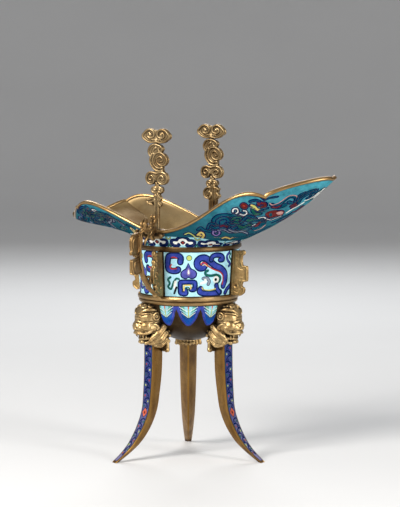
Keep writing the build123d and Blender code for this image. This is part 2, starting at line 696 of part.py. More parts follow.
def head(azimuth, leg_part, strip):
    a = math.radians(azimuth)
    radial = Vector(math.cos(a), math.sin(a), 0)
    tang = Vector(-math.sin(a), math.cos(a), 0)

    def place(r, y, z):
        v = radial * r + tang * y
        return (v.X, v.Y, z)

    with BuildPart() as p:
        for r, w, h, zc, rad in HEAD_SECTIONS:
            with BuildSketch(Plane(origin=place(r, 0, zc), x_dir=tang, z_dir=radial)):
                RectangleRounded(w, h, rad)
        loft()
        # lower jaw
        with BuildSketch(Plane(origin=place(0, 0, 0), x_dir=radial, z_dir=(math.sin(a), -math.cos(a), 0))):
            with BuildLine():
                Polyline((31.0, 97.0), (29.0, 88.0), (35.2, 85.0), (42.2, 84.6), (44.2, 87.6), (42.6, 90.4),
                         (37.0, 91.4), (37.4, 97.0), close=True)
            make_face()
        extrude(amount=4.6, both=True)
        for side in (-1, 1):
            with Locations(place(40.6, side * 7.4, 107.2)):
                Sphere(2.2)                               # eye
            with Locations(place(45.8, side * 3.2, 99.8)):
                Sphere(1.7)                               # nostril
            with Locations(across(azimuth, 36.4, side * 10.2, 97.6)):
                Cylinder(3.6, 4.4)                        # cheek scroll
            with Locations(across(azimuth, 33.4, side * 10.6, 108.6)):
                Cylinder(3.2, 4.0)                        # horn curl
            with Locations(across(azimuth, 31.0, side * 9.6, 90.6)):
                Cylinder(3.0, 4.2)                        # mane lock
        with Locations(Location((0, 0, BOWL_Z), (0, 0, azimuth + 137))):
            Sphere(BOWL_R, mode=Mode.SUBTRACT)
        add(leg_part, mode=Mode.SUBTRACT)
        add(strip, mode=Mode.SUBTRACT)
        with Locations(across(azimuth, TENON_R, 0, PIN_Z)):
            Cylinder(PIN_D / 2, PIN_L, mode=Mode.SUBTRACT)
    return p


with BuildPart() as handle_side_head:
    add(head(LEG_AZ[2], handle_leg.part, handle_leg_enamel.part).part)
with BuildPart() as spout_head:
    add(handle_side_head.part.rotate(Axis.Z, LEG_AZ[0] + 360 - LEG_AZ[2]))
with BuildPart() as rear_head:
    add(handle_side_head.part.rotate(Axis.Z, LEG_AZ[1] - LEG_AZ[2]))

with BuildPart() as leg_pins:
    for az in LEG_AZ:
        with Locations(across(az, TENON_R, 0, PIN_Z)):
            Cylinder(PIN_D / 2, PIN_L)

# ---------------------------------------------------------------------------
vessel_body.part.label = "vessel_body"
export_step(vessel_body.part, "parts/vessel_body.step")
lower_moulding.part.label = "lower_moulding"
export_step(lower_moulding.part, "parts/lower_moulding.step")
upper_fillet.part.label = "upper_fillet"
export_step(upper_fillet.part, "parts/upper_fillet.step")
mouth_flare.part.label = "mouth_flare"
export_step(mouth_flare.part, "parts/mouth_flare.step")
rim_band.part.label = "rim_band"
export_step(rim_band.part, "parts/rim_band.step")
collar_enamel.part.label = "collar_enamel"
export_step(collar_enamel.part, "parts/collar_enamel.step")
spout_enamel.part.label = "spout_enamel"
export_step(spout_enamel.part, "parts/spout_enamel.step")
tail_enamel.part.label = "tail_enamel"
export_step(tail_enamel.part, "parts/tail_enamel.step")
panel_front_spout.part.label = "panel_front_spout"
export_step(panel_front_spout.part, "parts/panel_front_spout.step")
panel_rear_spout.part.label = "panel_rear_spout"
export_step(panel_rear_spout.part, "parts/panel_rear_spout.step")
panel_rear_tail.part.label = "panel_rear_tail"
export_step(panel_rear_tail.part, "parts/panel_rear_tail.step")
panel_front_tail.part.label = "panel_front_tail"
export_step(panel_front_tail.part, "parts/panel_front_tail.step")
bowl_enamel.part.label = "bowl_enamel"
export_step(bowl_enamel.part, "parts/bowl_enamel.step")
spout_flange.part.label = "spout_flange"
export_step(spout_flange.part, "parts/spout_flange.step")
rear_flange.part.label = "rear_flange"
export_step(rear_flange.part, "parts/rear_flange.step")
tail_flange.part.label = "tail_flange"
export_step(tail_flange.part, "parts/tail_flange.step")
handle_flange.part.label = "handle_flange"
export_step(handle_flange.part, "parts/handle_flange.step")
handle_loop.part.label = "handle_loop"
export_step(handle_loop.part, "parts/handle_loop.step")
handle_plates.part.label = "handle_plates"
export_step(handle_plates.part, "parts/handle_plates.step")
handle_head.part.label = "handle_head"
export_step(handle_head.part, "parts/handle_head.step")
near_post.part.label = "near_post"
export_step(near_post.part, "parts/near_post.step")
far_post.part.label = "far_post"
export_step(far_post.part, "parts/far_post.step")
near_finial.part.label = "near_finial"
export_step(near_finial.part, "parts/near_finial.step")
far_finial.part.label = "far_finial"
export_step(far_finial.part, "parts/far_finial.step")
spout_leg.part.label = "spout_leg"
export_step(spout_leg.part, "parts/spout_leg.step")
rear_leg.part.label = "rear_leg"
export_step(rear_leg.part, "parts/rear_leg.step")
handle_leg.part.label = "handle_leg"
export_step(handle_leg.part, "parts/handle_leg.step")
spout_leg_enamel.part.label = "spout_leg_enamel"
export_step(spout_leg_enamel.part, "parts/spout_leg_enamel.step")
rear_leg_enamel.part.label = "rear_leg_enamel"
export_step(rear_leg_enamel.part, "parts/rear_leg_enamel.step")
handle_leg_enamel.part.label = "handle_leg_enamel"
export_step(handle_leg_enamel.part, "parts/handle_leg_enamel.step")
spout_head.part.label = "spout_head"
export_step(spout_head.part, "parts/spout_head.step")
rear_head.part.label = "rear_head"
export_step(rear_head.part, "parts/rear_head.step")
handle_side_head.part.label = "handle_side_head"
export_step(handle_side_head.part, "parts/handle_side_head.step")
leg_pins.part.label = "leg_pins"
export_step(leg_pins.part, "parts/leg_pins.step")
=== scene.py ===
import bpy
import bmesh
import math
import random
import numpy as np
from mathutils import Vector, Matrix
from mathutils.geometry import delaunay_2d_cdt


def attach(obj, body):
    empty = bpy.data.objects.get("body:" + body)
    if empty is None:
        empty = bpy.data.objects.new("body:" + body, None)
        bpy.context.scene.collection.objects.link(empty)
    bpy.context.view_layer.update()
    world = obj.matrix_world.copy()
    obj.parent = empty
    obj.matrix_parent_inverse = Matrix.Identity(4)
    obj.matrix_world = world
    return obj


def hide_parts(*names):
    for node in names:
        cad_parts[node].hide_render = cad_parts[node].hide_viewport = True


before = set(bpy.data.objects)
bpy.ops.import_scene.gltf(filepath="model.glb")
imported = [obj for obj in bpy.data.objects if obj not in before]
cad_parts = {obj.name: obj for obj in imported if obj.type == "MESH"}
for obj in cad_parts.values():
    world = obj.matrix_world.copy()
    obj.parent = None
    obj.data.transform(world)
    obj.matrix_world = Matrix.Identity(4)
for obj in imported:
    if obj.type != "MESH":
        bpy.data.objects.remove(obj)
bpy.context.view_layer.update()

MM = 0.001
scene = bpy.context.scene
random.seed(11)

# ---------------------------------------------------------------------------
# materials
# ---------------------------------------------------------------------------
def new_mat(name):
    mat = bpy.data.materials.new(name)
    mat.use_nodes = True
    nt = mat.node_tree
    nt.nodes.clear()
    out = nt.nodes.new("ShaderNodeOutputMaterial")
    bsdf = nt.nodes.new("ShaderNodeBsdfPrincipled")
    nt.links.new(bsdf.outputs["BSDF"], out.inputs["Surface"])
    co = nt.nodes.new("ShaderNodeTexCoord").outputs["Object"]
    return mat, nt, bsdf, co


def noise(nt, co, scale, detail=3.0, rough=0.55, stretch=None):
    if stretch:
        m = nt.nodes.new("ShaderNodeMapping")
        m.inputs["Scale"].default_value = stretch
        nt.links.new(co, m.inputs["Vector"])
        co = m.outputs["Vector"]
    n = nt.nodes.new("ShaderNodeTexNoise")
    n.inputs["Scale"].default_value = scale
    n.inputs["Detail"].default_value = detail
    n.inputs["Roughness"].default_value = rough
    nt.links.new(co, n.inputs["Vector"])
    return n.outputs["Fac"]


def ramp(nt, fac, stops):
    r = nt.nodes.new("ShaderNodeValToRGB")
    r.color_ramp.elements[0].position = stops[0][0]
    r.color_ramp.elements[1].position = stops[-1][0]
    for p, _ in stops[1:-1]:
        r.color_ramp.elements.new(p)
    for e, (_, c) in zip(r.color_ramp.elements, stops):
        e.color = c if len(c) == 4 else (*c, 1)
    nt.links.new(fac, r.inputs["Fac"])
    return r.outputs["Color"]


def grey(v):
    return (v, v, v, 1)


def mixc(nt, fac, a, b, mode="MIX"):
    m = nt.nodes.new("ShaderNodeMix")
    m.data_type = "RGBA"
    m.blend_type = mode
    for sock, v in ((m.inputs["Factor"], fac), (m.inputs["A"], a), (m.inputs["B"], b)):
        if isinstance(v, (int, float)):
            sock.default_value = v
        elif isinstance(v, tuple):
            sock.default_value = v if len(v) == 4 else (*v, 1)
        else:
            nt.links.new(v, sock)
    return m.outputs["Result"]


def maths(nt, op, a, b=0.0):
    m = nt.nodes.new("ShaderNodeMath")
    m.operation = op
    m.use_clamp = True
    for sock, v in zip(m.inputs, (a, b)):
        if isinstance(v, (int, float)):
            sock.default_value = v
        else:
            nt.links.new(v, sock)
    return m.outputs["Value"]


def bump(nt, bsdf, height, strength, dist):
    b = nt.nodes.new("ShaderNodeBump")
    b.inputs["Strength"].default_value = strength
    b.inputs["Distance"].default_value = dist
    nt.links.new(height, b.inputs["Height"])
    nt.links.new(b.outputs["Normal"], bsdf.inputs["Normal"])


def enamel(name, rgb, spread=0.16, pit=0.5, low=None, span=None, gloss=0.08):
    """Glass over metal: cloudy, pitted; low is the colour it falls to at the bottom of span, in metres up."""
    mat, nt, bsdf, co = new_mat(name)
    dark = tuple(v * (1 - spread * 1.6) for v in rgb)
    light = tuple(min(1.0, v * (1 + spread) + 0.012) for v in rgb)
    cloud = ramp(nt, noise(nt, co, 170, 4), [(0.3, dark), (0.52, rgb), (0.75, light)])
    fine = ramp(nt, noise(nt, co, 1500, 2), [(0.35, grey(0.86)), (0.65, grey(1.0))])
    col = mixc(nt, 1.0, cloud, fine, "MULTIPLY")
    # towards the bottom of span the colour falls to low; on the wing's turquoise ground this is painted shade, on the
    # leg ground a paler violet towards the foot
    if low:
        xyz = nt.nodes.new("ShaderNodeSeparateXYZ")
        nt.links.new(co, xyz.inputs["Vector"])
        up = nt.nodes.new("ShaderNodeMapRange")
        nt.links.new(xyz.outputs["Z"], up.inputs["Value"])
        up.inputs["From Min"].default_value, up.inputs["From Max"].default_value = span
        col = mixc(nt, up.outputs["Result"], low, col)
    pits = noise(nt, co, 2600, 1, 0.4)
    spots = ramp(nt, pits, [(0.22, grey(1.0)), (0.27, grey(0.0))])
    col = mixc(nt, maths(nt, "MULTIPLY", spots, pit), col, tuple(v * 0.25 for v in rgb))
    nt.links.new(col, bsdf.inputs["Base Color"])
    bsdf.inputs["Specular IOR Level"].default_value = gloss
    rough = ramp(nt, noise(nt, co, 420, 3), [(0.3, grey(0.22)), (0.7, grey(0.36))])
    nt.links.new(rough, bsdf.inputs["Roughness"])
    bump(nt, bsdf, mixc(nt, 0.5, noise(nt, co, 340, 2), pits), 0.22, 0.00012)
    return mat


def gilt(name, rgb, patina=(0.045, 0.022, 0.008), rubbed_and_highlit=0.5, rough=(0.26, 0.42), scale=90, stretch=None,
         recess=0.0035, blotch=0.55, fine=0.3, edges=True, deep=0.0):
    """Fire gilding: bright on what the hand rubs and on every convex edge, rubbed gilding and painted highlight; brown
    where it never reaches, patina in the hollows deepened into painted shade.
    """
    mat, nt, bsdf, co = new_mat(name)
    bright = (min(1.0, rgb[0] * 1.22 + 0.03), min(1.0, rgb[1] * 1.26 + 0.02), min(1.0, rgb[2] * 1.35 + 0.01))
    dull = (rgb[0] * 0.62, rgb[1] * 0.52, rgb[2] * 0.42)
    tone = ramp(nt, noise(nt, co, scale, 5, 0.6, stretch), [(0.3, dull), (0.5, rgb), (0.7, bright)])
    speck = ramp(nt, noise(nt, co, 1300, 3, 0.7), [(0.36, grey(0.5)), (0.56, grey(1.0))])
    tone = mixc(nt, fine, tone, mixc(nt, 1.0, tone, speck, "MULTIPLY"))
    patch = ramp(nt, noise(nt, co, scale * 0.45, 5, 0.65), [(0.46, grey(0.0)), (0.74, grey(blotch))])
    if edges:
        # ambient occlusion (pushed further by deep) and low pointiness darken hollows and creases: the patina the cast
        # holds there, made darker as painted shade
        ao = nt.nodes.new("ShaderNodeAmbientOcclusion")
        ao.samples = 6
        ao.inputs["Distance"].default_value = recess
        hollow_patina_and_shade = ramp(nt, ao.outputs["AO"], [(0.36 + deep, grey(1.0)), (0.9 + deep * 0.6, grey(0.0))])
        geo = nt.nodes.new("ShaderNodeNewGeometry")
        low = ramp(nt, geo.outputs["Pointiness"], [(0.44, grey(1.0)), (0.497, grey(0.0))])
        # high pointiness lifts convex edges to the bright tone: rubbed gilding and painted highlight
        high = ramp(nt, geo.outputs["Pointiness"], [(0.52, grey(0.0)), (0.58, grey(1.0))])
        patina_and_shade = maths(nt, "MAXIMUM", maths(nt, "MAXIMUM", hollow_patina_and_shade, maths(nt, "MULTIPLY", low, 0.9)), patch)
        patina_and_shade = maths(nt, "SUBTRACT", patina_and_shade, maths(nt, "MULTIPLY", high, 0.45))
        patina_and_shade = maths(nt, "MULTIPLY", patina_and_shade, 0.95)
        col = mixc(nt, patina_and_shade, tone, patina)
        col = mixc(nt, maths(nt, "MULTIPLY", high, rubbed_and_highlit), col, bright)
    else:
        patina_and_shade = patch
        col = mixc(nt, patina_and_shade, tone, patina)
    nt.links.new(col, bsdf.inputs["Base Color"])
    metal = ramp(nt, patina_and_shade, [(0.0, grey(1.0)), (1.0, grey(0.7))])
    nt.links.new(metal, bsdf.inputs["Metallic"])
    r = ramp(nt, noise(nt, co, scale * 3, 4, 0.6), [(0.3, grey(rough[0])), (0.7, grey(rough[1]))])
    r = mixc(nt, patina_and_shade, r, grey(0.58))
    nt.links.new(r, bsdf.inputs["Roughness"])
    if edges:
        bump(nt, bsdf, mixc(nt, 0.5, noise(nt, co, 700, 4), noise(nt, co, 150, 3)), 0.3, 0.0002)
    return mat


GOLD = (0.62, 0.345, 0.105)
M = {
    # wing ground: darkened overall and falling to dark teal towards the keel, painted shade of the wing's underside
    "turquoise": enamel("enamel_turquoise_ground", (0.060, 0.295, 0.375), 0.3, low=(0.008, 0.066, 0.096),
                        span=(0.170, 0.212), gloss=0.0),
    "sky": enamel("enamel_sky_ground", (0.38, 0.68, 0.78)),
    "pale": enamel("enamel_pale_ground", (0.30, 0.60, 0.68)),
    "navy": enamel("enamel_navy", (0.002, 0.012, 0.070), 0.2, gloss=0.0),
    "lapis": enamel("enamel_lapis", (0.028, 0.050, 0.30), 0.3),
    "violet": enamel("enamel_violet", (0.075, 0.080, 0.34), 0.24),
    "legblue": enamel("enamel_leg_ground", (0.032, 0.042, 0.18), 0.3, low=(0.15, 0.14, 0.25), span=(0.008, 0.056)),
    "mauve": enamel("enamel_mauve", (0.24, 0.17, 0.40)),
    "cobalt": enamel("enamel_cobalt", (0.010, 0.042, 0.29), 0.34),
    "azure": enamel("enamel_azure", (0.005, 0.066, 0.33), 0.3),
    "teal": enamel("enamel_teal", (0.005, 0.075, 0.120), 0.26, gloss=0.0),
    "green": enamel("enamel_green", (0.010, 0.105, 0.075), 0.26, gloss=0.02),
    "mint": enamel("enamel_mint", (0.13, 0.42, 0.32), 0.24),
    "lime": enamel("enamel_lime", (0.42, 0.47, 0.12)),
    "yellow": enamel("enamel_yellow", (0.60, 0.47, 0.13)),
    "red": enamel("enamel_red", (0.42, 0.035, 0.022), 0.22),
    "coral": enamel("enamel_coral", (0.60, 0.12, 0.06), 0.2),
    "darkred": enamel("enamel_dark_red", (0.13, 0.014, 0.014), 0.24, gloss=0.02),
    "pink": enamel("enamel_pink", (0.50, 0.26, 0.24)),
    "white": enamel("enamel_white", (0.70, 0.72, 0.68), 0.08),
    "grey": enamel("enamel_grey", (0.20, 0.24, 0.30)),
    "black": enamel("enamel_black", (0.005, 0.005, 0.008)),
    "wire": gilt("gilt_wires", (0.13, 0.105, 0.055), blotch=0.0, edges=False, fine=0.0),
    "gilt": gilt("gilt_cup", GOLD, blotch=0.6),
    # near-black brown gilt on the bowl: painted shadow
    "bowl": gilt("gilt_bowl_painted_shadow", (0.048, 0.030, 0.014), patina=(0.008, 0.005, 0.003), blotch=0.95, scale=55),
    "rim": gilt("gilt_rim", (0.42, 0.265, 0.11), rough=(0.26, 0.32), blotch=0.25, edges=False, fine=0.0, scale=28),
    # dark copy of the rim gilt: painted shade under the rim
    "rim_painted_shade": gilt("gilt_rim_underside_painted_shade", (0.10, 0.06, 0.025), blotch=0.6, edges=False, fine=0.1, scale=60),
    "mould": gilt("gilt_mouldings", (0.34, 0.22, 0.095), blotch=0.8, scale=120),
    "fillet": gilt("gilt_fillet", (0.12, 0.07, 0.028), blotch=0.9, scale=160),
    "mouth": gilt("gilt_mouth_inside", (0.46, 0.32, 0.15), patina=(0.22, 0.14, 0.065), rough=(0.36, 0.5), scale=30,
                  blotch=0.4, fine=0.25, edges=False),
    # flanges, handle, posts and heads: deep pushes their hollows darker, patina and painted shade
    "flange": gilt("gilt_flanges", (0.42, 0.270, 0.105), patina=(0.03, 0.016, 0.006), blotch=0.9, deep=0.1),
    "handle": gilt("gilt_handle", (0.33, 0.20, 0.078), patina=(0.026, 0.014, 0.006), blotch=0.85, recess=0.0032,
                   deep=0.12),
    "post": gilt("gilt_posts", (0.335, 0.235, 0.115), patina=(0.024, 0.015, 0.008), blotch=0.75, recess=0.0040,
                 rough=(0.28, 0.46), deep=0.22),
    "head": gilt("gilt_heads", (0.57, 0.390, 0.175), patina=(0.016, 0.009, 0.004), blotch=0.55, scale=150, recess=0.0060, deep=0.25),
    # legs: convex edges strongly brightened, rubbed gilding and painted highlight along the blade edges
    "leg": gilt("gilt_legs", (0.29, 0.150, 0.030), patina=(0.05, 0.02, 0.006), blotch=0.85, scale=130, stretch=(1, 1, 0.3),
                fine=0.5, rubbed_and_highlit=0.9),
}
M["wire"].use_fake_user = True


def mesh_object(name, verts, faces, mats, index=None, smooth=True):
    me = bpy.data.meshes.new(name)
    me.from_pydata([tuple(v) for v in verts], [], [tuple(f) for f in faces])
    for m in mats:
        me.materials.append(m)
    if index is not None:
        me.polygons.foreach_set("material_index", np.asarray(index, np.int32))
    me.polygons.foreach_set("use_smooth", [smooth] * len(me.polygons))
    me.update()
    o = bpy.data.objects.new(name, me)
    scene.collection.objects.link(o)
    return o


def done(o, slot, *nodes):
    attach(o, "root")
    if nodes:
        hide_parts(*nodes)
    return o


# ---------------------------------------------------------------------------
# the flare, millimetres
# ---------------------------------------------------------------------------
BOWL_Z, BOWL_R = 125.75, 36.6
PANEL_R0, PANEL_R1, MOULD_Z1, PANEL_Z1 = 36.8, 39.2, 125.85, 160.75
NECK_R, NECK_IN, CUP_TOP, NECK_Z = 38.5, 36.9, 163.05, 164.05
ENAMEL, FLARE_WALL, RIM_H, RIM_PROUD = 0.8, 1.6, 2.3, 0.35
COLLAR_W, COLLAR_MAX, TIP_EASE, SIDE_SPAN = 8.8, 0.84, 0.55, 0.4
CUSP_EASE = 0.3
LOW = (-3.1, 45.9, 175.45)
SPOUT = dict(lead=43.0, q1=(58.5, 50.0, 217.45), cusp=(88.2, 38.9, 204.25), q2=(89.3, 39.8, 209.8),
             q3=(128.0, 11.8, 220.5), tip=(123.7, 0.0, 216.5), keel=(0.056, 0.265, 0.152, 0.61, 0.41))
TAIL = dict(lead=-17.8, q1=(-61.3, 50.9, 207.5), cusp=(-77.4, 36.3, 190.8), q2=(-81.5, 36.0, 193.5), q3=(-96.5, 8.0, 174.3), tip=(-104.5, 0.0, 181.8), keel=(0.06, 0.3, 0.78, 0.86, 0.66))
SIDE = (0.30, 0.30, 0.55, 0.62, 0.80)
R0 = NECK_R + ENAMEL
REACH = {"s": math.hypot(*SPOUT["tip"][:2]) - R0, "t": math.hypot(*TAIL["tip"][:2]) - R0}
LOW_REACH = math.hypot(*LOW[:2]) - R0


def bern(points, t):
    n = len(points) - 1
    return sum(np.asarray(p, float) * (math.comb(n, i) * (1 - t) ** (n - i) * t ** i)
               for i, p in enumerate(points))


def rim_point(wing, big_t):
    w = SPOUT if wing == "s" else TAIL
    if big_t <= 1:
        return bern([LOW, (LOW[0] + w["lead"], LOW[1], LOW[2]), w["q1"], w["cusp"]], big_t)
    return bern([w["cusp"], w["q2"], w["q3"], w["tip"]], big_t - 1)


def profile(wing, big_t):
    w = SPOUT if wing == "s" else TAIL
    top = rim_point(wing, big_t)
    ang = math.atan2(top[1], top[0])
    n = np.array((R0 * math.cos(ang), R0 * math.sin(ang), NECK_Z))
    flat, rise = top[:2] - n[:2], top[2] - NECK_Z
    q = (math.hypot(*flat) - LOW_REACH) / (REACH[wing] - LOW_REACH) / SIDE_SPAN
    q = min(1.0, max(0.0, q))
    q = q * q * (3 - 2 * q)
    b1, a2, b2, a3, b3 = [k * q + m * (1 - q) for k, m in zip(w["keel"], SIDE)]
    u = np.array((flat[0] * (1 - a3), flat[1] * (1 - a3), rise * (1 - b3)))
    u /= np.linalg.norm(u)
    end = top - u * RIM_H
    flat, rise = end[:2] - n[:2], end[2] - NECK_Z

    def at(a, b):
        return np.array((n[0] + flat[0] * a, n[1] + flat[1] * a, n[2] + rise * b))
    return np.array([n, at(0, b1), at(a2, b2), at(a3, b3), end]), u


NT, NS = 80, 60           # steps per lobe, steps up the wall
SS = np.linspace(0, 1, NS + 1)
BASIS = np.stack([math.comb(4, i) * (1 - SS) ** (4 - i) * SS ** i for i in range(5)], 1)


def unit_rows(n):
    return n / np.maximum(np.linalg.norm(n, axis=1, keepdims=True), 1e-12)


def wing_table(wing):
    """Points, normals and the collar's level on a grid: rim parameter 0..2 by wall parameter 0..1."""
    ts = np.linspace(0, 2, 2 * NT + 1)
    ctrl, ups = zip(*[profile(wing, t) for t in ts])
    pts = np.einsum("sk,tkc->tsc", BASIS, np.array(ctrl))
    run = np.concatenate([np.zeros((len(ts), 1)),
                          np.cumsum(np.linalg.norm(np.diff(pts, axis=1), axis=2), 1)], 1)
    goal = np.minimum(COLLAR_W, COLLAR_MAX * run[:, -1])
    collar = np.array([np.interp(g, r, SS) for g, r in zip(goal, run)])
    sgn = -1 if wing == "s" else 1

    def one(lo, hi, i):
        """Normal of column i, with differences taken only inside one lobe."""
        a, b = max(lo, i - 1), min(hi, i + 1)
        du = pts[b] - pts[a]
        dv = np.gradient(pts[i], axis=0)
        n = np.cross(du, dv) * sgn
        return n / np.maximum(np.linalg.norm(n, axis=1, keepdims=True), 1e-12)
    nor = np.zeros_like(pts)
    last = 2 * NT
    ease = NT + int(round(TIP_EASE * NT))
    tip = one(NT, last, last)
    tip[:, 1] = 0
    tip /= np.maximum(np.linalg.norm(tip, axis=1, keepdims=True), 1e-12)
    base = one(NT, last, ease)
    cusp = unit_rows(one(0, NT, NT) + one(NT, last, NT))
    for i in range(last + 1):
        if i > ease:
            k = (i - ease) / (last - ease)
            n = base * (1 - k) + tip * k
        elif i <= NT:
            n = one(0, NT, i)
        else:
            n = one(NT, last, i)
        k = 1 - abs(i - NT) / NT / CUSP_EASE
        if k > 0:
            n = unit_rows(n) * (1 - k) + cusp * k
        nor[i] = n / np.maximum(np.linalg.norm(n, axis=1, keepdims=True), 1e-12)
    return dict(ts=ts, pts=pts, nor=nor, collar=collar, up=np.array(ups))


TABLE = {"s": wing_table("s"), "t": wing_table("t")}
low = unit_rows(TABLE["s"]["nor"][0] + TABLE["t"]["nor"][0])
for tb in TABLE.values():
    for i in range(NT):
        k = 1 - i / NT / CUSP_EASE
        if k > 0:
            tb["nor"][i] = unit_rows(tb["nor"][i] * (1 - k) + low * k)
    flat = tb["pts"][:, 0] * np.array((1, 1, 0))
    tb["nor"][:, 0] = unit_rows(flat)


def sample(grid, i, j):
    """Bilinear value of grid at fractional indices i, j (arrays)."""
    i = np.clip(i, 0, grid.shape[0] - 1 - 1e-9)
    j = np.clip(j, 0, grid.shape[1] - 1 - 1e-9)
    i0, j0 = i.astype(int), j.astype(int)
    fi, fj = (i - i0)[:, None], (j - j0)[:, None]
    return (grid[i0, j0] * (1 - fi) * (1 - fj) + grid[i0 + 1, j0] * fi * (1 - fj) +
            grid[i0, j0 + 1] * (1 - fi) * fj + grid[i0 + 1, j0 + 1] * fi * fj)


def wall(wing, big_t, level, depth=0.0, side=1):
    """Points of the wall: level 0 neck, 1 collar top, 2 rim; arrays, millimetres."""
    tb = TABLE[wing]
    big_t, level = np.atleast_1d(np.asarray(big_t, float)), np.atleast_1d(np.asarray(level, float))
    big_t, level = np.broadcast_arrays(big_t, level)
    c = np.interp(big_t, tb["ts"], tb["collar"])
    s = np.where(level <= 1, c * level, c + (1 - c) * (level - 1))
    i, j = big_t * NT, s * NS
    p, n = sample(tb["pts"], i, j), sample(tb["nor"], i, j)
    n = n / np.linalg.norm(n, axis=1, keepdims=True)
    out = p - n * depth
    return out * (1, side, 1), n * (1, side, 1)


def s_to_level(wing, big_t, s):
    c = np.interp(big_t, TABLE[wing]["ts"], TABLE[wing]["collar"])
    return 1 + (s - c) / (1 - c)


# ---------------------------------------------------------------------------
# charts: a flat pattern of enamel fields and wires, laid on a curved bed
# ---------------------------------------------------------------------------
def smooth_path(pts, step=0.6):
    """Catmull-Rom through pts, about one point per step."""
    p = np.asarray(pts, float)
    if len(p) == 2:
        n = max(2, int(np.linalg.norm(p[1] - p[0]) / step) + 1)
        return p[0] + (p[1] - p[0]) * np.linspace(0, 1, n)[:, None]
    q = np.vstack([2 * p[0] - p[1], p, 2 * p[-1] - p[-2]])
    out = []
    for i in range(1, len(q) - 2):
        a, b, c, d = q[i - 1:i + 3]
        n = max(2, int(np.linalg.norm(c - b) / step) + 1)
        t = np.linspace(0, 1, n, endpoint=False)[:, None]
        out.append(0.5 * (2 * b + (c - a) * t + (2 * a - 5 * b + 4 * c - d) * t ** 2 +
                          (3 * b - a - 3 * c + d) * t ** 3))
    out.append(p[-1:])
    return np.vstack(out)


def closed_path(pts, step=0.6):
    p = np.asarray(pts, float)
    n = len(p)
    out = []
    for i in range(n):
        a, b, c, d = p[i - 1], p[i], p[(i + 1) % n], p[(i + 2) % n]
        k = max(2, int(np.linalg.norm(c - b) / step) + 1)
        t = np.linspace(0, 1, k, endpoint=False)[:, None]
        out.append(0.5 * (2 * b + (c - a) * t + (2 * a - 5 * b + 4 * c - d) * t ** 2 +
                          (3 * b - a - 3 * c + d) * t ** 3))
    return np.vstack(out)


class Chart:
    """place(x, y) -> points, normals. Units of x and y are roughly millimetres."""

    def __init__(self, place, box):
        self.place, self.box = place, box

    def metric(self, p):
        """For each chart point, the two columns that turn a surface vector into a chart vector."""
        e = 0.02
        a = (self.place(p[:, 0] + e, p[:, 1])[0] - self.place(p[:, 0] - e, p[:, 1])[0]) / (2 * e)
        b = (self.place(p[:, 0], p[:, 1] + e)[0] - self.place(p[:, 0], p[:, 1] - e)[0]) / (2 * e)
        n = np.cross(a, b)
        n /= np.maximum(np.linalg.norm(n, axis=1, keepdims=True), 1e-9)
        return a, b, n

    def to_chart(self, a, b, v):
        aa, bb, ab = (a * a).sum(1), (b * b).sum(1), (a * b).sum(1)
        va, vb = (v * a).sum(1), (v * b).sum(1)
        d = np.maximum(aa * bb - ab * ab, 1e-6)
        return np.stack([(va * bb - vb * ab) / d, (vb * aa - va * ab) / d], 1)

    def stroke(self, path, width, taper=None):
        p = smooth_path(path)
        a, b, n = self.metric(p)
        t2 = np.gradient(p, axis=0)
        t3 = a * t2[:, :1] + b * t2[:, 1:]
        t3 /= np.maximum(np.linalg.norm(t3, axis=1, keepdims=True), 1e-9)
        s3 = np.cross(n, t3)
        e1, e2 = self.to_chart(a, b, t3), self.to_chart(a, b, s3)
        w = np.full(len(p), width / 2)
        if taper:
            k = np.linspace(0, 1, len(p))
            w = w * np.interp(k, np.linspace(0, 1, len(taper)), taper)
        left, right = p + e2 * w[:, None], p - e2 * w[:, None]
        cap = np.linspace(math.pi / 2, -math.pi / 2, 7)[1:-1]
        head = [p[-1] + (e1[-1] * math.cos(c) + e2[-1] * math.sin(c)) * w[-1] for c in cap]
        tail = [p[0] - (e1[0] * math.cos(c) + e2[0] * math.sin(c)) * w[0] for c in cap]
        return np.vstack([left, head, right[::-1], tail])

    def disc(self, c, r):
        c = np.asarray(c, float).reshape(1, 2)
        a, b, n = self.metric(c)
        ua = a / np.linalg.norm(a)
        ub = np.cross(n, ua)
        e1, e2 = self.to_chart(a, b, ua)[0], self.to_chart(a, b, ub)[0]
        k = np.linspace(0, 2 * math.pi, 22, endpoint=False)[:, None]
        return c + (e1 * np.cos(k) + e2 * np.sin(k)) * r

    def outlines(self, shapes):
        """Turns drawn shapes into closed outlines with a colour, bottom first."""
        out = []
        for sh in shapes:
            kind, c0, c1, w, edge, pts = sh[:6]
            taper = sh[6] if len(sh) > 6 else None
            if kind == "band":
                out.append((c0, self.stroke(pts, w, taper), True))
                if w - 2 * edge > 0.15:
                    out.append((c1, self.stroke(pts, w - 2 * edge, taper), False))
            elif kind == "line":
                out.append((c0, self.stroke(pts, w, taper), False))
            elif kind == "disc":
                out.append((c0, self.disc(pts[0], w), True))
            else:
                q = closed_path(pts)
                out.append((c0, q, True))
                if c1:
                    m = q.mean(0)
                    d = q - m
                    k = np.linalg.norm(d, axis=1, keepdims=True)
                    out.append((c1, m + d * np.maximum(0.2, (k - edge * 1.25) / np.maximum(k, 1e-6)), False))
        return out


def inside(points, poly):
    """Winding number test, vectorised."""
    x, y = points[:, :1], points[:, 1:]
    x0, y0 = poly[:, 0][None], poly[:, 1][None]
    x1, y1 = np.roll(poly[:, 0], -1)[None], np.roll(poly[:, 1], -1)[None]
    left = (x1 - x0) * (y - y0) - (x - x0) * (y1 - y0)
    up = (y0 <= y) & (y1 > y) & (left > 0)
    down = (y0 > y) & (y1 <= y) & (left < 0)
    return (up.sum(1) - down.sum(1)) != 0


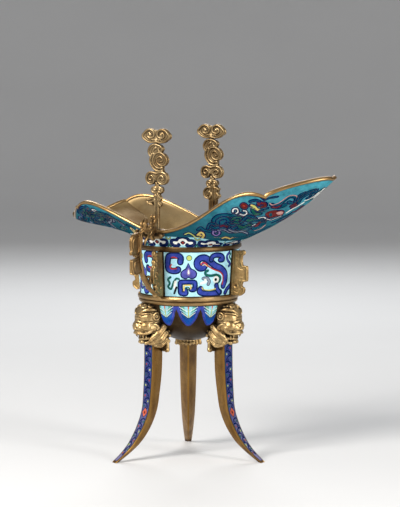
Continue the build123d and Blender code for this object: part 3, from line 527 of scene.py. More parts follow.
def lay(name, chart, shapes, ground, step=1.2, wire=0.07, lift=0.03, mirror=False, sink=0.0, back=None,
        ground_fn=None):
    """The enamelled field and its wires as two objects."""
    x0, x1, y0, y1 = chart.box
    lo, hi = np.array((x0, y0)), np.array((x1, y1))
    outs = []
    for c, q, wired in chart.outlines(shapes):
        keep = (q[:, 0] > x0 - 4) & (q[:, 0] < x1 + 4) & (q[:, 1] > y0 - 4) & (q[:, 1] < y1 + 4)
        if not keep.any():
            continue
        q = np.clip(q, lo, hi)
        d = np.linalg.norm(np.diff(np.vstack([q, q[:1]]), axis=0), axis=1)
        q = q[d > 0.02]
        if len(q) > 3:
            outs.append((c, q, wired))
    nx, ny = max(2, int((x1 - x0) / step)), max(2, int((y1 - y0) / step))
    gx, gy = np.linspace(x0, x1, nx + 1), np.linspace(y0, y1, ny + 1)
    grid = np.array([(x, y) for x in gx for y in gy])
    verts = [Vector(v) for v in grid]
    edges = []
    # the rectangle's rim
    idx = {(i, j): i * (ny + 1) + j for i in range(nx + 1) for j in range(ny + 1)}
    for i in range(nx):
        edges += [(idx[i, 0], idx[i + 1, 0]), (idx[i, ny], idx[i + 1, ny])]
    for j in range(ny):
        edges += [(idx[0, j], idx[0, j + 1]), (idx[nx, j], idx[nx, j + 1])]
    for c, q, wired in outs:
        b = len(verts)
        verts += [Vector(v) for v in q]
        edges += [(b + k, b + (k + 1) % len(q)) for k in range(len(q))]
    v2, _, tris, *_ = delaunay_2d_cdt(verts, edges, [], 0, 1e-4)
    v2 = np.array([tuple(v) for v in v2])
    tris = np.array([t for t in tris if len(t) == 3])
    mid = v2[tris].mean(1)
    names = [ground]
    index = np.zeros(len(tris), int)
    for c, q, wired in outs:
        if c not in names:
            names.append(c)
        ql, qh = q.min(0), q.max(0)
        m = np.where((mid > ql).all(1) & (mid < qh).all(1))[0]
        if len(m):
            hit = m[inside(mid[m], q)]
            index[hit] = names.index(c)
    if ground_fn is not None:
        index = ground_fn(mid, index, names)
    p, n = chart.place(v2[:, 0], v2[:, 1])
    p = (p - n * sink) * MM
    # orient the faces outward
    a, b, c = p[tris[:, 0]], p[tris[:, 1]], p[tris[:, 2]]
    fn = np.cross(b - a, c - a)
    flip = (fn * n[tris[:, 0]]).sum(1) < 0
    tris[flip] = tris[flip][:, ::-1]
    objs = []

    def both(pts, faces):
        if not mirror:
            return pts, faces
        k = len(pts)
        return np.vstack([pts, pts * (1, -1, 1)]), np.vstack([faces, faces[:, ::-1] + k])
    pp, ff = both(p, tris)
    ii = np.concatenate([index, index]) if mirror else index
    objs.append(mesh_object(name, pp, ff, [M[k] for k in names], ii))
    # wires: a low roof of gilt over every outline
    wv, wf = [], []
    base = 0
    for c, q, wired in outs:
        if not wired:
            continue
        onrim = ((q[:, 0] <= x0 + 1e-3) | (q[:, 0] >= x1 - 1e-3) | (q[:, 1] <= y0 + 1e-3) | (q[:, 1] >= y1 - 1e-3))
        a, b, nn = chart.metric(q)
        t2 = np.roll(q, -1, 0) - np.roll(q, 1, 0)
        t3 = a * t2[:, :1] + b * t2[:, 1:]
        t3 /= np.maximum(np.linalg.norm(t3, axis=1, keepdims=True), 1e-9)
        s3 = np.cross(nn, t3)
        pos, nor = chart.place(q[:, 0], q[:, 1])
        pos = pos - nor * sink
        ring = [pos + s3 * wire / 2 - nor * 0.04, pos + s3 * wire / 4 + nor * lift,
                pos - s3 * wire / 4 + nor * lift, pos - s3 * wire / 2 - nor * 0.04]
        k = len(q)
        for r in ring:
            wv.append(r * MM)
        for i in range(k):
            j = (i + 1) % k
            if onrim[i] and onrim[j]:
                continue
            for r in range(3):
                wf.append((base + r * k + i, base + r * k + j, base + (r + 1) * k + j, base + (r + 1) * k + i))
        base += 4 * k
    if wf:
        wv, wf = np.vstack(wv), np.array(wf)
        # corners of each face, not used further
        a, b, c = wv[wf[:, 0]], wv[wf[:, 1]], wv[wf[:, 2]]
        wv2, wf2 = both(wv, wf)
        objs.append(mesh_object(name + "_wires", wv2, wf2, [M["wire"]]))
    return objs
COLLAR_0 = -6.0           # azimuth of the first cloud
MASK = [
    ('band', 'navy', 'lapis', 5.1, 1.05, [(-16.6, 152.8), (-16.3, 156.1), (-18.5, 157.6), (-22.7, 157.6), (-25.9, 157), (-26.8, 154.1), (-27.1, 150.3), (-26.4, 147.3), (-23, 146), (-19.1, 146.4), (-18.4, 147.3)]),
    ('line', 'red', None, 0.9, 0, [(-23.5, 156.2), (-21.4, 156.5), (-19.4, 155.7)]),
    ('line', 'red', None, 0.9, 0, [(-23.7, 150.8), (-25, 149.4), (-24.4, 147.7), (-22.2, 147.5), (-19.7, 147.9)]),
    ('disc', 'green', None, 2.25, 0, [(-9.5, 155.9)]),
    ('disc', 'lime', None, 1.8, 0, [(-9.5, 155.9)]),
    ('poly', 'navy', 'violet', 0, 0.75, [(-10.3, 152.2), (-8.9, 150.1), (-7.8, 148.3), (-5.8, 147.2), (-4, 145.7), (-3.4, 143.7), (-4.1, 141.4), (-6.1, 140.1), (-8.4, 140.1), (-10, 140.9), (-11.8, 140), (-14, 140.1), (-16, 141.4), (-16.7, 143.5), (-16.1, 145.5), (-14.3, 147), (-12.5, 148.1), (-11.4, 150)]),
    ('poly', 'mauve', None, 0, 0.5, [(-10.1, 148.6), (-8.8, 146.3), (-8.5, 144.2), (-9.5, 142.7), (-10.9, 143.1), (-11.4, 145), (-11, 146.9)]),
    ('poly', 'white', None, 0, 0.5, [(-10, 147.2), (-9.4, 145.7), (-9.2, 144.4), (-9.8, 143.6), (-10.6, 144.2), (-10.6, 145.7)]),
    ('band', 'navy', 'lapis', 4.1, 1.05, [(-12.5, 131.6), (-12.3, 129), (-15.7, 129.1), (-16.7, 130.2), (-16.8, 136.4), (-15.7, 137.6), (-6.5, 137.7), (-5, 136.7), (-5, 133.2), (-6, 132), (-7.8, 132)]),
    ('line', 'yellow', None, 1.15, 0, [(-13.8, 131.3), (-13.8, 134.6), (-13.1, 135.2), (-8.8, 135.3), (-8.2, 134.6), (-8.3, 132.7)]),
    ('line', 'green', None, 0.9, 0, [(-12.1, 132.7), (-12.3, 133.5), (-10.3, 133.7), (-9.6, 132.5), (-10.7, 131.6)]),
    ('band', 'navy', 'lapis', 5.5, 1.05, [(2.2, 150.8), (1.6, 148.7), (-1.2, 148.2), (-3.3, 150.2), (-3.3, 153.5), (-0.7, 155.7), (2.9, 155.6), (6.8, 152.7), (11.1, 149.5), (16.6, 147), (20.9, 143), (21.3, 138), (19.6, 134)]),
    ('band', 'navy', 'lapis', 4.3, 1.05, [(7.5, 154.1), (8.5, 156.6), (11.8, 157.6), (16.4, 156.6), (18, 154), (15.1, 153.7)]),
    ('line', 'red', None, 0.95, 0, [(-0.6, 150.9), (0.3, 152.2), (2.8, 151.7), (5.7, 149.1), (10, 146.7), (15.2, 144.7), (18.4, 142), (18.9, 138), (18.4, 135)]),
    ('line', 'yellow', None, 0.6, 0, [(0.8, 150.2), (2.3, 150.8), (4.3, 149.5)]),
    ('band', 'teal', 'green', 2.1, 0.4, [(4.9, 146.1), (3, 145), (3.6, 143), (7.6, 142.1), (12.1, 142.5), (15.7, 140.9), (15.8, 138.3), (13.9, 136.5)]),
    ('disc', 'white', None, 2.75, 0, [(12.1, 139)]),
    ('disc', 'black', None, 1.15, 0, [(11.9, 139)]),
    ('band', 'navy', 'grey', 2.6, 0.45, [(1.3, 140.2), (4.2, 140.4), (6.3, 138.2), (5.5, 135.7)]),
    ('line', 'white', None, 2.0, 0, [(-0.3, 136.6), (1.6, 137.2), (3.3, 137.7), (3.1, 139.1)]),
    ('band', 'navy', 'lapis', 4.8, 1.05, [(-0.6, 132.4), (-1.2, 130.3), (1.8, 129), (8.1, 128.7), (14.6, 128.8), (16.3, 129.2)]),
    ('band', 'navy', 'lapis', 4.3, 1.05, [(12.7, 134.7), (13.6, 131.7), (15.7, 129.3)]),
    ('line', 'yellow', None, 1.0, 0, [(0.7, 133.1), (2.3, 131.7), (7.1, 131.2), (11.9, 132)]),
    ('line', 'green', None, 0.5, 0, [(1.2, 132.5), (3, 131.2), (7.2, 130.6), (11.6, 131.4)]),
    ('band', 'teal', 'green', 1.65, 0.3, [(-24.9, 141.2), (-27.1, 139.4), (-25.7, 136.5), (-27.2, 134), (-24.9, 132.2), (-23.7, 134)]),
    ('band', 'teal', 'green', 1.55, 0.3, [(-17.9, 140), (-19.9, 140.3), (-21.4, 138.7), (-22.6, 136.9), (-23.4, 134.5)]),
    ('line', 'white', None, 2.0, 0, [(-20.7, 137.7), (-21.3, 135.4), (-21.3, 133.1)]),
    ('line', 'black', None, 1.6, 0, [(-20, 133.6), (-21, 131.4), (-22, 129)]),
    ('band', 'navy', 'lapis', 2.2, 0.55, [(24.9, 158.9), (22.1, 156.2), (23.2, 153), (26.3, 150), (24.9, 148.5)]),
    ('band', 'teal', 'green', 1.5, 0.25, [(26.3, 157.8), (25.2, 155.3), (27.6, 152.8)]),
    ('band', 'navy', 'lapis', 3.9, 1.05, [(27.8, 133.3), (24.2, 131), (22.1, 128.4)]),
]

SCROLL = [
    ('poly', 'navy', 'teal', 0, 0.5, [(0.6, 0.745), (0.6, 0.814), (0.655, 0.827), (0.739, 0.814), (0.819, 0.779), (0.832, 0.729), (0.775, 0.699), (0.687, 0.697)]),
    ('poly', 'navy', 'teal', 0, 0.5, [(0.886, 0.632), (0.887, 0.692), (0.939, 0.728), (1.088, 0.723), (1.297, 0.643), (1.258, 0.609), (0.986, 0.616)]),
    ('poly', 'navy', 'green', 0, 0.5, [(0.905, 0.756), (0.914, 0.808), (0.962, 0.839), (1.153, 0.815), (1.22, 0.764), (1.008, 0.775), (0.952, 0.748)]),
    ('poly', 'navy', 'teal', 0, 0.5, [(1.383, 0.586), (1.351, 0.659), (1.432, 0.69), (1.534, 0.676), (1.615, 0.619), (1.578, 0.573), (1.552, 0.528)]),
    ('poly', 'navy', 'teal', 0, 0.5, [(1.374, 0.716), (1.371, 0.759), (1.458, 0.766), (1.547, 0.73), (1.53, 0.696), (1.485, 0.678)]),
    ('poly', 'navy', 'teal', 0, 0.5, [(1.381, 0.851), (1.428, 0.865), (1.512, 0.871), (1.583, 0.854), (1.584, 0.822), (1.499, 0.816)]),
    ('band', 'navy', 'lime', 3.18, 1.05, [(0.231, 0.644), (0.269, 0.663), (0.316, 0.535), (0.368, 0.39), (0.483, 0.415)]),
    ('band', 'navy', 'yellow', 3.74, 1.05, [(0.378, 0.515), (0.418, 0.6), (0.468, 0.519), (0.461, 0.42)]),
    ('disc', 'yellow', None, 1.15, 0, [(0.417, 0.495)]),
    ('band', 'navy', 'teal', 3.6, 1.05, [(0.374, 0.698), (0.4, 0.749), (0.447, 0.669), (0.541, 0.63), (0.603, 0.68)]),
    ('band', 'navy', 'teal', 3.6, 1.05, [(0.529, 0.734), (0.599, 0.691), (0.683, 0.704), (0.769, 0.673), (0.851, 0.633)]),
    ('band', 'navy', 'mauve', 3.18, 1.05, [(0.591, 0.63), (0.609, 0.566), (0.687, 0.521), (0.717, 0.565), (0.658, 0.633), (0.624, 0.612)]),
    ('band', 'navy', 'grey', 2.9, 1.05, [(0.657, 0.638), (0.756, 0.625), (0.876, 0.563), (0.931, 0.565)]),
    ('band', 'navy', 'yellow', 3.6, 1.05, [(0.858, 0.413), (0.91, 0.447), (1.156, 0.386), (1.173, 0.431)]),
    ('band', 'navy', 'darkred', 3.46, 1.05, [(0.676, 0.703), (0.723, 0.702), (0.783, 0.668)]),
    ('band', 'navy', 'teal', 4.3, 1.05, [(0.569, 0.774), (0.548, 0.84), (0.584, 0.875), (0.675, 0.855), (0.767, 0.822), (0.83, 0.836), (0.881, 0.832), (0.901, 0.854)]),
    ('band', 'navy', 'teal', 3.88, 1.05, [(0.618, 0.756), (0.601, 0.809), (0.639, 0.828), (0.708, 0.808), (0.761, 0.755), (0.746, 0.72)]),
    ('band', 'navy', 'white', 3.04, 1.05, [(0.761, 0.867), (0.757, 0.895), (0.797, 0.89), (0.824, 0.857), (0.812, 0.841)]),
    ('band', 'navy', 'white', 3.04, 1.05, [(0.862, 0.829), (0.906, 0.821), (0.927, 0.838), (0.907, 0.864), (0.876, 0.868)]),
    ('disc', 'navy', None, 3.56, 0, [(0.857, 0.914)]),
    ('disc', 'darkred', None, 2.64, 0, [(0.857, 0.914)]),
    ('disc', 'red', None, 0.92, 0, [(0.857, 0.914)]),
    ('band', 'navy', 'green', 4.3, 1.05, [(0.924, 0.921), (0.956, 0.911), (0.968, 0.876), (1.047, 0.85), (1.247, 0.811)]),
    ('band', 'navy', 'yellow', 3.74, 1.05, [(0.925, 0.924), (0.955, 0.922), (1.01, 0.9), (1.227, 0.862)]),
    ('disc', 'lime', None, 1.26, 0, [(0.951, 0.919)]),
    ('band', 'navy', 'darkred', 4.3, 1.05, [(0.978, 0.945), (0.984, 0.965), (1.151, 0.934), (1.219, 0.895), (1.143, 0.904)]),
    ('band', 'navy', 'green', 4.86, 1.05, [(0.864, 0.708), (0.873, 0.757), (0.932, 0.779), (1.042, 0.769), (1.253, 0.741)]),
    ('band', 'navy', 'green', 4.58, 1.05, [(0.887, 0.681), (0.976, 0.664), (1.177, 0.684), (1.343, 0.645)]),
    ('band', 'navy', 'teal', 3.46, 1.05, [(0.919, 0.66), (0.899, 0.611), (0.995, 0.587), (1.333, 0.549), (1.383, 0.586)]),
    ('band', 'navy', 'grey', 3.18, 1.05, [(0.844, 0.614), (0.937, 0.581), (1.138, 0.584), (1.516, 0.474)]),
    ('band', 'navy', 'white', 3.18, 1.05, [(1.343, 0.645), (1.421, 0.669), (1.478, 0.698), (1.413, 0.74), (1.301, 0.754)]),
    ('band', 'navy', 'darkred', 4.58, 1.05, [(1.451, 0.619), (1.434, 0.673), (1.484, 0.687)]),
    ('line', 'pink', None, 1.26, 0, [(1.597, 0.517), (1.68, 0.544), (1.641, 0.608)]),
    ('poly', 'navy', 'darkred', 0, 0.5, [(1.353, 0.791), (1.368, 0.811), (1.427, 0.816), (1.547, 0.801), (1.624, 0.787), (1.687, 0.758), (1.719, 0.722), (1.647, 0.718), (1.585, 0.707), (1.503, 0.713), (1.422, 0.749)]),
    ('poly', 'pink', None, 0, 0.4, [(1.541, 0.769), (1.578, 0.78), (1.653, 0.765), (1.679, 0.741), (1.631, 0.736)]),
    ('poly', 'teal', None, 0, 0.4, [(1.43, 0.776), (1.458, 0.782), (1.519, 0.745), (1.492, 0.738)]),
    ('band', 'navy', 'white', 2.76, 1.05, [(1.49, 0.709), (1.609, 0.679), (1.657, 0.692), (1.714, 0.716)]),
    ('band', 'navy', 'teal', 4.02, 1.05, [(1.318, 0.891), (1.404, 0.858), (1.462, 0.87), (1.475, 0.9), (1.514, 0.919), (1.605, 0.9), (1.651, 0.864), (1.613, 0.854), (1.56, 0.87)]),
    ('line', 'pink', None, 0.91, 0, [(1.272, 0.911), (1.347, 0.88), (1.42, 0.884), (1.453, 0.909), (1.493, 0.931), (1.588, 0.915), (1.646, 0.884)]),
    ('band', 'navy', 'darkred', 3.74, 1.05, [(1.376, 0.856), (1.445, 0.839), (1.483, 0.846)]),
    ('band', 'navy', 'darkred', 3.88, 1.05, [(1.677, 0.819), (1.695, 0.83), (1.711, 0.846), (1.745, 0.82), (1.729, 0.8)]),
    ('band', 'navy', 'teal', 3.74, 1.05, [(1.738, 0.842), (1.707, 0.88), (1.739, 0.91), (1.816, 0.92), (1.897, 0.92), (1.921, 0.89), (1.813, 0.878)]),
    ('band', 'navy', 'green', 3.32, 1.05, [(1.941, 0.87), (1.93, 0.9), (1.929, 0.93), (1.959, 0.95)]),
    # pale streaks along the keel near the tip: painted highlight on the keel's edge, laid in white and pink enamel
    ('line', 'white', None, 1.4, 0, [(1.743, 0.748), (1.759, 0.779), (1.807, 0.808), (1.846, 0.84)]),
    ('line', 'pink', None, 1.12, 0, [(1.866, 0.73), (1.916, 0.76), (1.947, 0.8)]),
    ('line', 'white', None, 1.26, 0, [(1.824, 0.855), (1.896, 0.87), (1.941, 0.895), (1.94, 0.92)]),
    ('line', 'white', None, 1.68, 0, [(1.995, 0.882), (1.991, 0.92), (1.991, 0.95)]),
    ('band', 'navy', 'teal', 2.9, 1.05, [(1.737, 0.634), (1.788, 0.658), (1.815, 0.7), (1.874, 0.73)]),
    ('band', 'navy', 'teal', 3.04, 1.05, [(1.616, 0.425), (1.825, 0.44), (1.845, 0.51), (1.845, 0.578)]),
    ('band', 'navy', 'darkred', 3.18, 1.05, [(1.887, 0.748), (1.966, 0.77), (1.94, 0.81)]),
    ('band', 'navy', 'green', 3.46, 1.05, [(0.793, 0.766), (0.819, 0.789), (0.881, 0.792), (0.92, 0.759), (0.911, 0.722), (0.851, 0.728)]),
    ('band', 'navy', 'teal', 3.32, 1.05, [(0.932, 0.734), (0.943, 0.799), (0.985, 0.824), (1.209, 0.772)]),
    ('band', 'navy', 'teal', 3.04, 1.05, [(1.129, 0.708), (1.227, 0.724), (1.36, 0.711), (1.521, 0.672)]),
    ('band', 'navy', 'teal', 3.18, 1.05, [(0.757, 0.733), (0.831, 0.685), (0.88, 0.695)]),
    ('band', 'navy', 'teal', 3.46, 1.05, [(1.655, 0.86), (1.671, 0.9), (1.717, 0.93), (1.789, 0.94)]),
    ('band', 'navy', 'teal', 3.04, 1.05, [(1.671, 0.872), (1.629, 0.916), (1.669, 0.93)]),
    ('band', 'navy', 'teal', 2.9, 1.05, [(1.828, 0.89), (1.795, 0.92), (1.832, 0.94)]),
    ('band', 'navy', 'teal', 3.32, 1.05, [(1.145, 0.856), (1.21, 0.87), (1.303, 0.859)]),
    ('band', 'navy', 'teal', 2.76, 1.05, [(0.894, 0.955), (0.93, 0.972), (0.972, 0.974)]),
    ('band', 'navy', 'teal', 3.04, 1.05, [(0.496, 0.686), (0.51, 0.789), (0.6, 0.745)]),
    ('band', 'navy', 'teal', 2.76, 1.05, [(1.062, 0.984), (1.222, 0.969), (1.322, 0.955)]),
    ('band', 'navy', 'darkred', 2.76, 1.05, [(1.896, 0.63), (1.953, 0.68), (1.992, 0.72)]),
]
# ---------------------------------------------------------------------------
# enamel fields
# ---------------------------------------------------------------------------
def cone_r(z):
    return PANEL_R0 + (PANEL_R1 - PANEL_R0) * (z - MOULD_Z1) / (PANEL_Z1 - MOULD_Z1)


def panel_chart(centre, flip, lo, hi):
    def place(x, y):
        a = math.radians(centre) + np.asarray(x, float) / 38.0 * (-1 if flip else 1)
        r = cone_r(np.asarray(y, float))
        p = np.stack([r * np.cos(a), r * np.sin(a), np.asarray(y, float)], 1)
        k = 0.0688
        n = np.stack([np.cos(a), np.sin(a), np.full_like(a, -k)], 1) / math.sqrt(1 + k * k)
        return p, n
    return Chart(place, (math.radians(lo) * 38.0, math.radians(hi) * 38.0, MOULD_Z1 + 0.8, PANEL_Z1 - 0.8))


def squeeze(shapes):
    """The mask's scroll beside the handle, kept inside the gilt border."""
    out = []
    for k, a, b, w, e, pts in shapes:
        out.append((k, a, b, w, e, [((x if x > -8 else -8 + (x + 8) * 0.93), y) for x, y in pts]))
    return out


mask = squeeze(MASK)
# the masks of the tail's side stand a little nearer to the tail
near_tail = [(k, a, b, w, e, [(x + 3.0, y) for x, y in pts]) for k, a, b, w, e, pts in mask]
for node, centre, flip, lo, hi in (("panel_front_spout", 315.0, False, -43.2, 41.2),
                                   ("panel_rear_spout", 45.0, True, -41.2, 41.2),
                                   ("panel_front_tail", 225.0, True, -39.2, 41.2),
                                   ("panel_rear_tail", 135.0, False, -41.2, 41.2)):
    field, wires = lay("field_" + node, panel_chart(centre, flip, lo, hi),
                       near_tail if node.endswith("tail") else mask, "sky")
    done(field, "enamel_turquoise", node)
    done(wires, "gilt_bronze")

# lappets round the bowl
def bowl_chart(centre, half):
    def place(x, y):
        a = math.radians(centre) + np.asarray(x, float) / 34.0
        z = np.asarray(y, float)
        r = np.sqrt(np.maximum(BOWL_R ** 2 - (z - BOWL_Z) ** 2, 1.0))
        p = np.stack([r * np.cos(a), r * np.sin(a), z], 1)
        n = np.stack([r * np.cos(a), r * np.sin(a), z - BOWL_Z], 1) / BOWL_R
        return p, n
    w = math.radians(half) * 34.0
    return Chart(place, (-w, w, 101.5, 119.0))


def lappet(cx, tip=103.6, top=119.0):
    h, sh = top - tip, []

    def leaf(w, drop, up=1.4):
        t = tip + drop
        pts = [(cx - w, top + up), (cx - w * 0.93, t + (top - t) * 0.62), (cx - w * 0.66, t + (top - t) * 0.28),
               (cx - w * 0.27, t + 0.6), (cx, t), (cx + w * 0.27, t + 0.6), (cx + w * 0.66, t + (top - t) * 0.28),
               (cx + w * 0.93, t + (top - t) * 0.62), (cx + w, top + up)]
        return pts
    sh.append(("poly", "lapis", None, 0, 0.5, leaf(8.0, 0.0)))
    sh.append(("poly", "azure", None, 0, 0.5, leaf(5.9, 0.9)))
    sh.append(("poly", "teal", None, 0, 0.5, leaf(5.3, 6.0)))
    sh.append(("poly", "mint", None, 0, 0.5, leaf(4.5, 6.7)))
    sh.append(("poly", "pale", None, 0, 0.5, leaf(2.7, 7.2)))
    for s in (-1, 1):
        for k, (x, y, c) in enumerate(((5.4, 2.2, "white"), (4.7, 4.6, "sky"), (3.7, 6.8, "white"))):
            sh.append(("line", c, None, 0.55, 0, [(cx + s * (x + 1.2), top - y + 2.0), (cx + s * x * 0.66, top - y),
                                                  (cx + s * x * 0.16, top - y - 1.6)]))
        sh.append(("line", "violet", None, 0.7, 0, [(cx + s * 7.2, top - 0.6), (cx + s * 6.8, top - 4.4),
                                                    (cx + s * 5.4, top - 8.2)]))
    sh.append(("line", "lime", None, 0.8, 0, [(cx, top + 0.6), (cx, top - 4.4), (cx, top - 8.0)]))
    sh.append(("line", "coral", None, 1.0, 0, [(cx, top + 0.8), (cx, top - 1.6)]))
    return sh


for k, mid in enumerate((60.0, 180.0, 300.0)):
    shapes = []
    for j in (-1, 0, 1):
        shapes += lappet(math.radians(30.0 * j) * 34.0)
    # the gold between the lappets takes the bowl's near-black gilt: painted shadow
    field, wires = lay("lappets_%d" % k, bowl_chart(mid, 37.0), shapes, "bowl")
    done(field, "enamel_blue", *(("bowl_enamel",) if k == 0 else ()))
    done(wires, "gilt_bronze")

# cloud collar: one chart right round the neck, x along the circle, y up the wall
AZ_T = {}
for wing in "st":
    rp = np.array([rim_point(wing, t) for t in TABLE[wing]["ts"]])
    AZ_T[wing] = np.degrees(np.arctan2(rp[:, 1], rp[:, 0]))
LOW_AZ = float(AZ_T["s"][0])


def collar_place(x, y):
    az = (np.asarray(x, float) / 41.0 * 180 / math.pi) % 360
    side = np.where(az > 180, -1, 1)
    a = np.where(az > 180, 360 - az, az)
    out, nor = np.zeros((len(a), 3)), np.zeros((len(a), 3))
    for wing in "st":
        m = a < LOW_AZ if wing == "s" else a >= LOW_AZ
        if not m.any():
            continue
        az_t, ts = AZ_T[wing], TABLE[wing]["ts"]
        if wing == "s":
            t = np.interp(a[m], az_t[::-1], ts[::-1])
        else:
            t = np.interp(a[m], az_t, ts)
        p, n = wall(wing, t, np.clip(np.asarray(y, float)[m] / 8.8, 0, 1))
        out[m], nor[m] = p, n
    sc = np.stack([np.ones(len(a)), side, np.ones(len(a))], 1)
    return out * sc, nor * sc


def cloud(cx, w=10.4):
    """A three-lobed cloud, open below, with a bud in it."""
    k = w / 10.4
    s = []
    arch = [(-3.0, 1.6), (-4.6, 0.95), (-7.4, 1.3), (-9.1, 3.3), (-8.3, 5.5), (-6.2, 6.0), (-4.6, 5.9), (-3.5, 7.5),
            (0, 8.6), (3.5, 7.5), (4.6, 5.9), (6.2, 6.0), (8.3, 5.5), (9.1, 3.3), (7.4, 1.3), (4.6, 0.95), (3.0, 1.6)]
    s.append(("poly", "white", None, 0, 0.5, [(cx + x * k, y) for x, y in arch]))
    s.append(("band", "navy", "navy", 2.6, 0.4, [(cx + x * k, y) for x, y in arch]))
    s.append(("disc", "navy", None, 1.35, 0, [(cx - 3.3 * k, 2.1)]))
    s.append(("disc", "navy", None, 1.35, 0, [(cx + 3.3 * k, 2.1)]))
    s.append(("poly", "navy", None, 0, 0.5, [(cx - 1.9, 3.7), (cx, 5.5), (cx + 1.9, 3.7), (cx, 2.1)]))
    s.append(("poly", "darkred", None, 0, 0.5, [(cx - 1.35, 3.7), (cx, 4.9), (cx + 1.35, 3.7), (cx, 2.6)]))
    s.append(("disc", "red", None, 0.45, 0, [(cx, 3.7)]))
    return s


unit = 41.0 * math.pi / 180
# the chart is cut at azimuth -15, between two clouds
shapes = []
for j in range(12):
    cx = (COLLAR_0 + 30.0 * j) * unit
    shapes += cloud(cx)
    gx = cx + 15.0 * unit
    shapes.append(("band", "navy", "lime", 1.5, 0.4, [(gx - 1.6, 7.9), (gx, 6.4), (gx + 1.6, 7.9)]))
    shapes.append(("band", "navy", "green", 1.5, 0.4, [(gx - 1.2, 0.5), (gx, 2.1), (gx + 1.2, 0.5)]))
a0 = COLLAR_0 - 15.0
chart = Chart(collar_place, (a0 * unit, (a0 + 360.0) * unit, 0.0, 8.8))
field, wires = lay("collar_clouds", chart, shapes, "pale", step=1.1)
done(field, "enamel_pale", "collar_enamel")
done(wires, "gilt_bronze")

# scrolling flowers under the spout and the tail
ST, SL = 62.0, 34.0       # chart millimetres per rim unit and per level unit


def wing_chart(wing):
    def place(x, y):
        return wall(wing, np.asarray(x, float) / ST, 1 + np.asarray(y, float) / SL, side=-1)
    return Chart(place, (0.0, 2 * ST, 0.0, SL))


def to_wing(shapes, wing, scale_t=1.0):
    out = []
    for k, a, b, w, e, pts in shapes:
        t = np.array([p[0] for p in pts]) * scale_t
        s = np.array([p[1] for p in pts])
        lv = s_to_level("s", np.clip(t, 0, 2), s)
        out.append((k, a, b, w, e, list(zip(np.clip(t, 0, 2) * ST, np.clip((lv - 1), 0.0, 1.0) * SL))))
    return out


# the outer half of the tail is all blue and green
QUIET = {"white": "teal", "yellow": "green", "lime": "green", "pink": "cobalt", "darkred": "teal", "red": "darkred"}
quiet = [(k, QUIET.get(a, a), QUIET.get(b, b), w, e, pts) if np.mean([q[0] for q in pts]) > 0.8 else (k, a, b, w, e, pts)
         for k, a, b, w, e, pts in SCROLL]
for wing, node, drawn in (("s", "spout_enamel", SCROLL), ("t", "tail_enamel", quiet)):
    field, wires = lay("scrolls_" + node, wing_chart(wing), to_wing(drawn, wing), "turquoise", step=1.3, mirror=True)
    done(field, "enamel_turquoise", node)
    done(wires, "gilt_bronze")


# ---------------------------------------------------------------------------
# mouth: one smooth shell, and the rounded rim
# ---------------------------------------------------------------------------
def around(f, per=NT):
    """Closed loop of points right round the mouth: f(wing, T array, side) -> points."""
    ts = np.linspace(0, 2, 2 * per + 1)
    a = f("s", ts[::-1], 1)            # tip of the spout to the low point, +Y
    b = f("t", ts, 1)[1:]              # low point to the tail's tip
    c = f("t", ts[::-1], -1)[1:]
    d = f("s", ts, -1)[1:-1]
    return np.vstack([a, b, c, d])


def loft(rings, close=True):
    n = len(rings[0])
    v = np.vstack(rings)
    f = []
    m = len(rings)
    for i in range(m if close else m - 1):
        j = (i + 1) % m
        for k in range(n):
            q = (k + 1) % n
            f.append((i * n + k, i * n + q, j * n + q, j * n + k))
    return v, f


def neck(r, z):
    def f(wing, ts, side):
        az = np.radians(np.interp(ts, TABLE[wing]["ts"], AZ_T[wing])) * side
        return np.stack([r * np.cos(az), r * np.sin(az), np.full(len(az), z)], 1)
    return around(f)


levels = np.concatenate([np.linspace(0.2, 1, 8), np.linspace(1.05, 2, 22)])
rings = [neck(NECK_R, CUP_TOP), neck(NECK_R, NECK_Z)]
rings += [around(lambda w, t, s, lv=lv: wall(w, t, lv, ENAMEL, s)[0]) for lv in levels]
rings += [around(lambda w, t, s, lv=lv: wall(w, t, lv, ENAMEL + FLARE_WALL, s)[0]) for lv in levels[::-1]]
rings += [neck(NECK_IN, NECK_Z), neck(NECK_IN, CUP_TOP)]
v, f = loft(rings)
shell = mesh_object("mouth_shell", v * MM, f, [M["mouth"]])
done(shell, "gilt_inside", "mouth_flare")


def rim_ring(across_, up, proud=0.0):
    """across_ 0 outside to 1 inside, up from the wall's edge."""
    def f(wing, ts, side):
        p, n = wall(wing, ts, 2.0, across_ * (ENAMEL + FLARE_WALL), 1)
        u = np.stack([np.interp(ts, TABLE[wing]["ts"], TABLE[wing]["up"][:, k]) for k in range(3)], 1)
        return (p + u * up + n * proud) * (1, side, 1)
    return around(f)


prof = [(0.0, 0.0, 0.0), (0.0, 0.12, 0.2), (0.0, 0.45, 0.33), (0.0, 1.0, 0.35), (0.0, 1.55, 0.33), (0.0, 1.95, 0.18),
        (0.06, 2.2, 0.0), (0.24, 2.29, 0.0), (0.5, 2.3, 0.0), (0.78, 2.24, 0.0), (0.93, 2.02, 0.0), (1.0, 1.6, 0.0),
        (1.0, 0.8, 0.0), (1.0, 0.0, 0.0), (0.5, 0.0, 0.0)]
v, f = loft([rim_ring(*q) for q in prof])
rows = np.arange(len(f)) // (len(f) // len(prof))
# the rim's lower rows take the dark copy of its gilt: painted shade under the rim
rim = mesh_object("rim_wire", v * MM, f, [M["rim"], M["rim_painted_shade"]], (rows < 3) | (rows > 12))
done(rim, "gilt_bronze", "rim_band")

# ---------------------------------------------------------------------------
# sculpting: closed forms are fused by a voxel remesh, then smoothed and engraved
# ---------------------------------------------------------------------------
def unitv(v):
    v = np.asarray(v, float)
    return v / max(1e-9, np.linalg.norm(v))


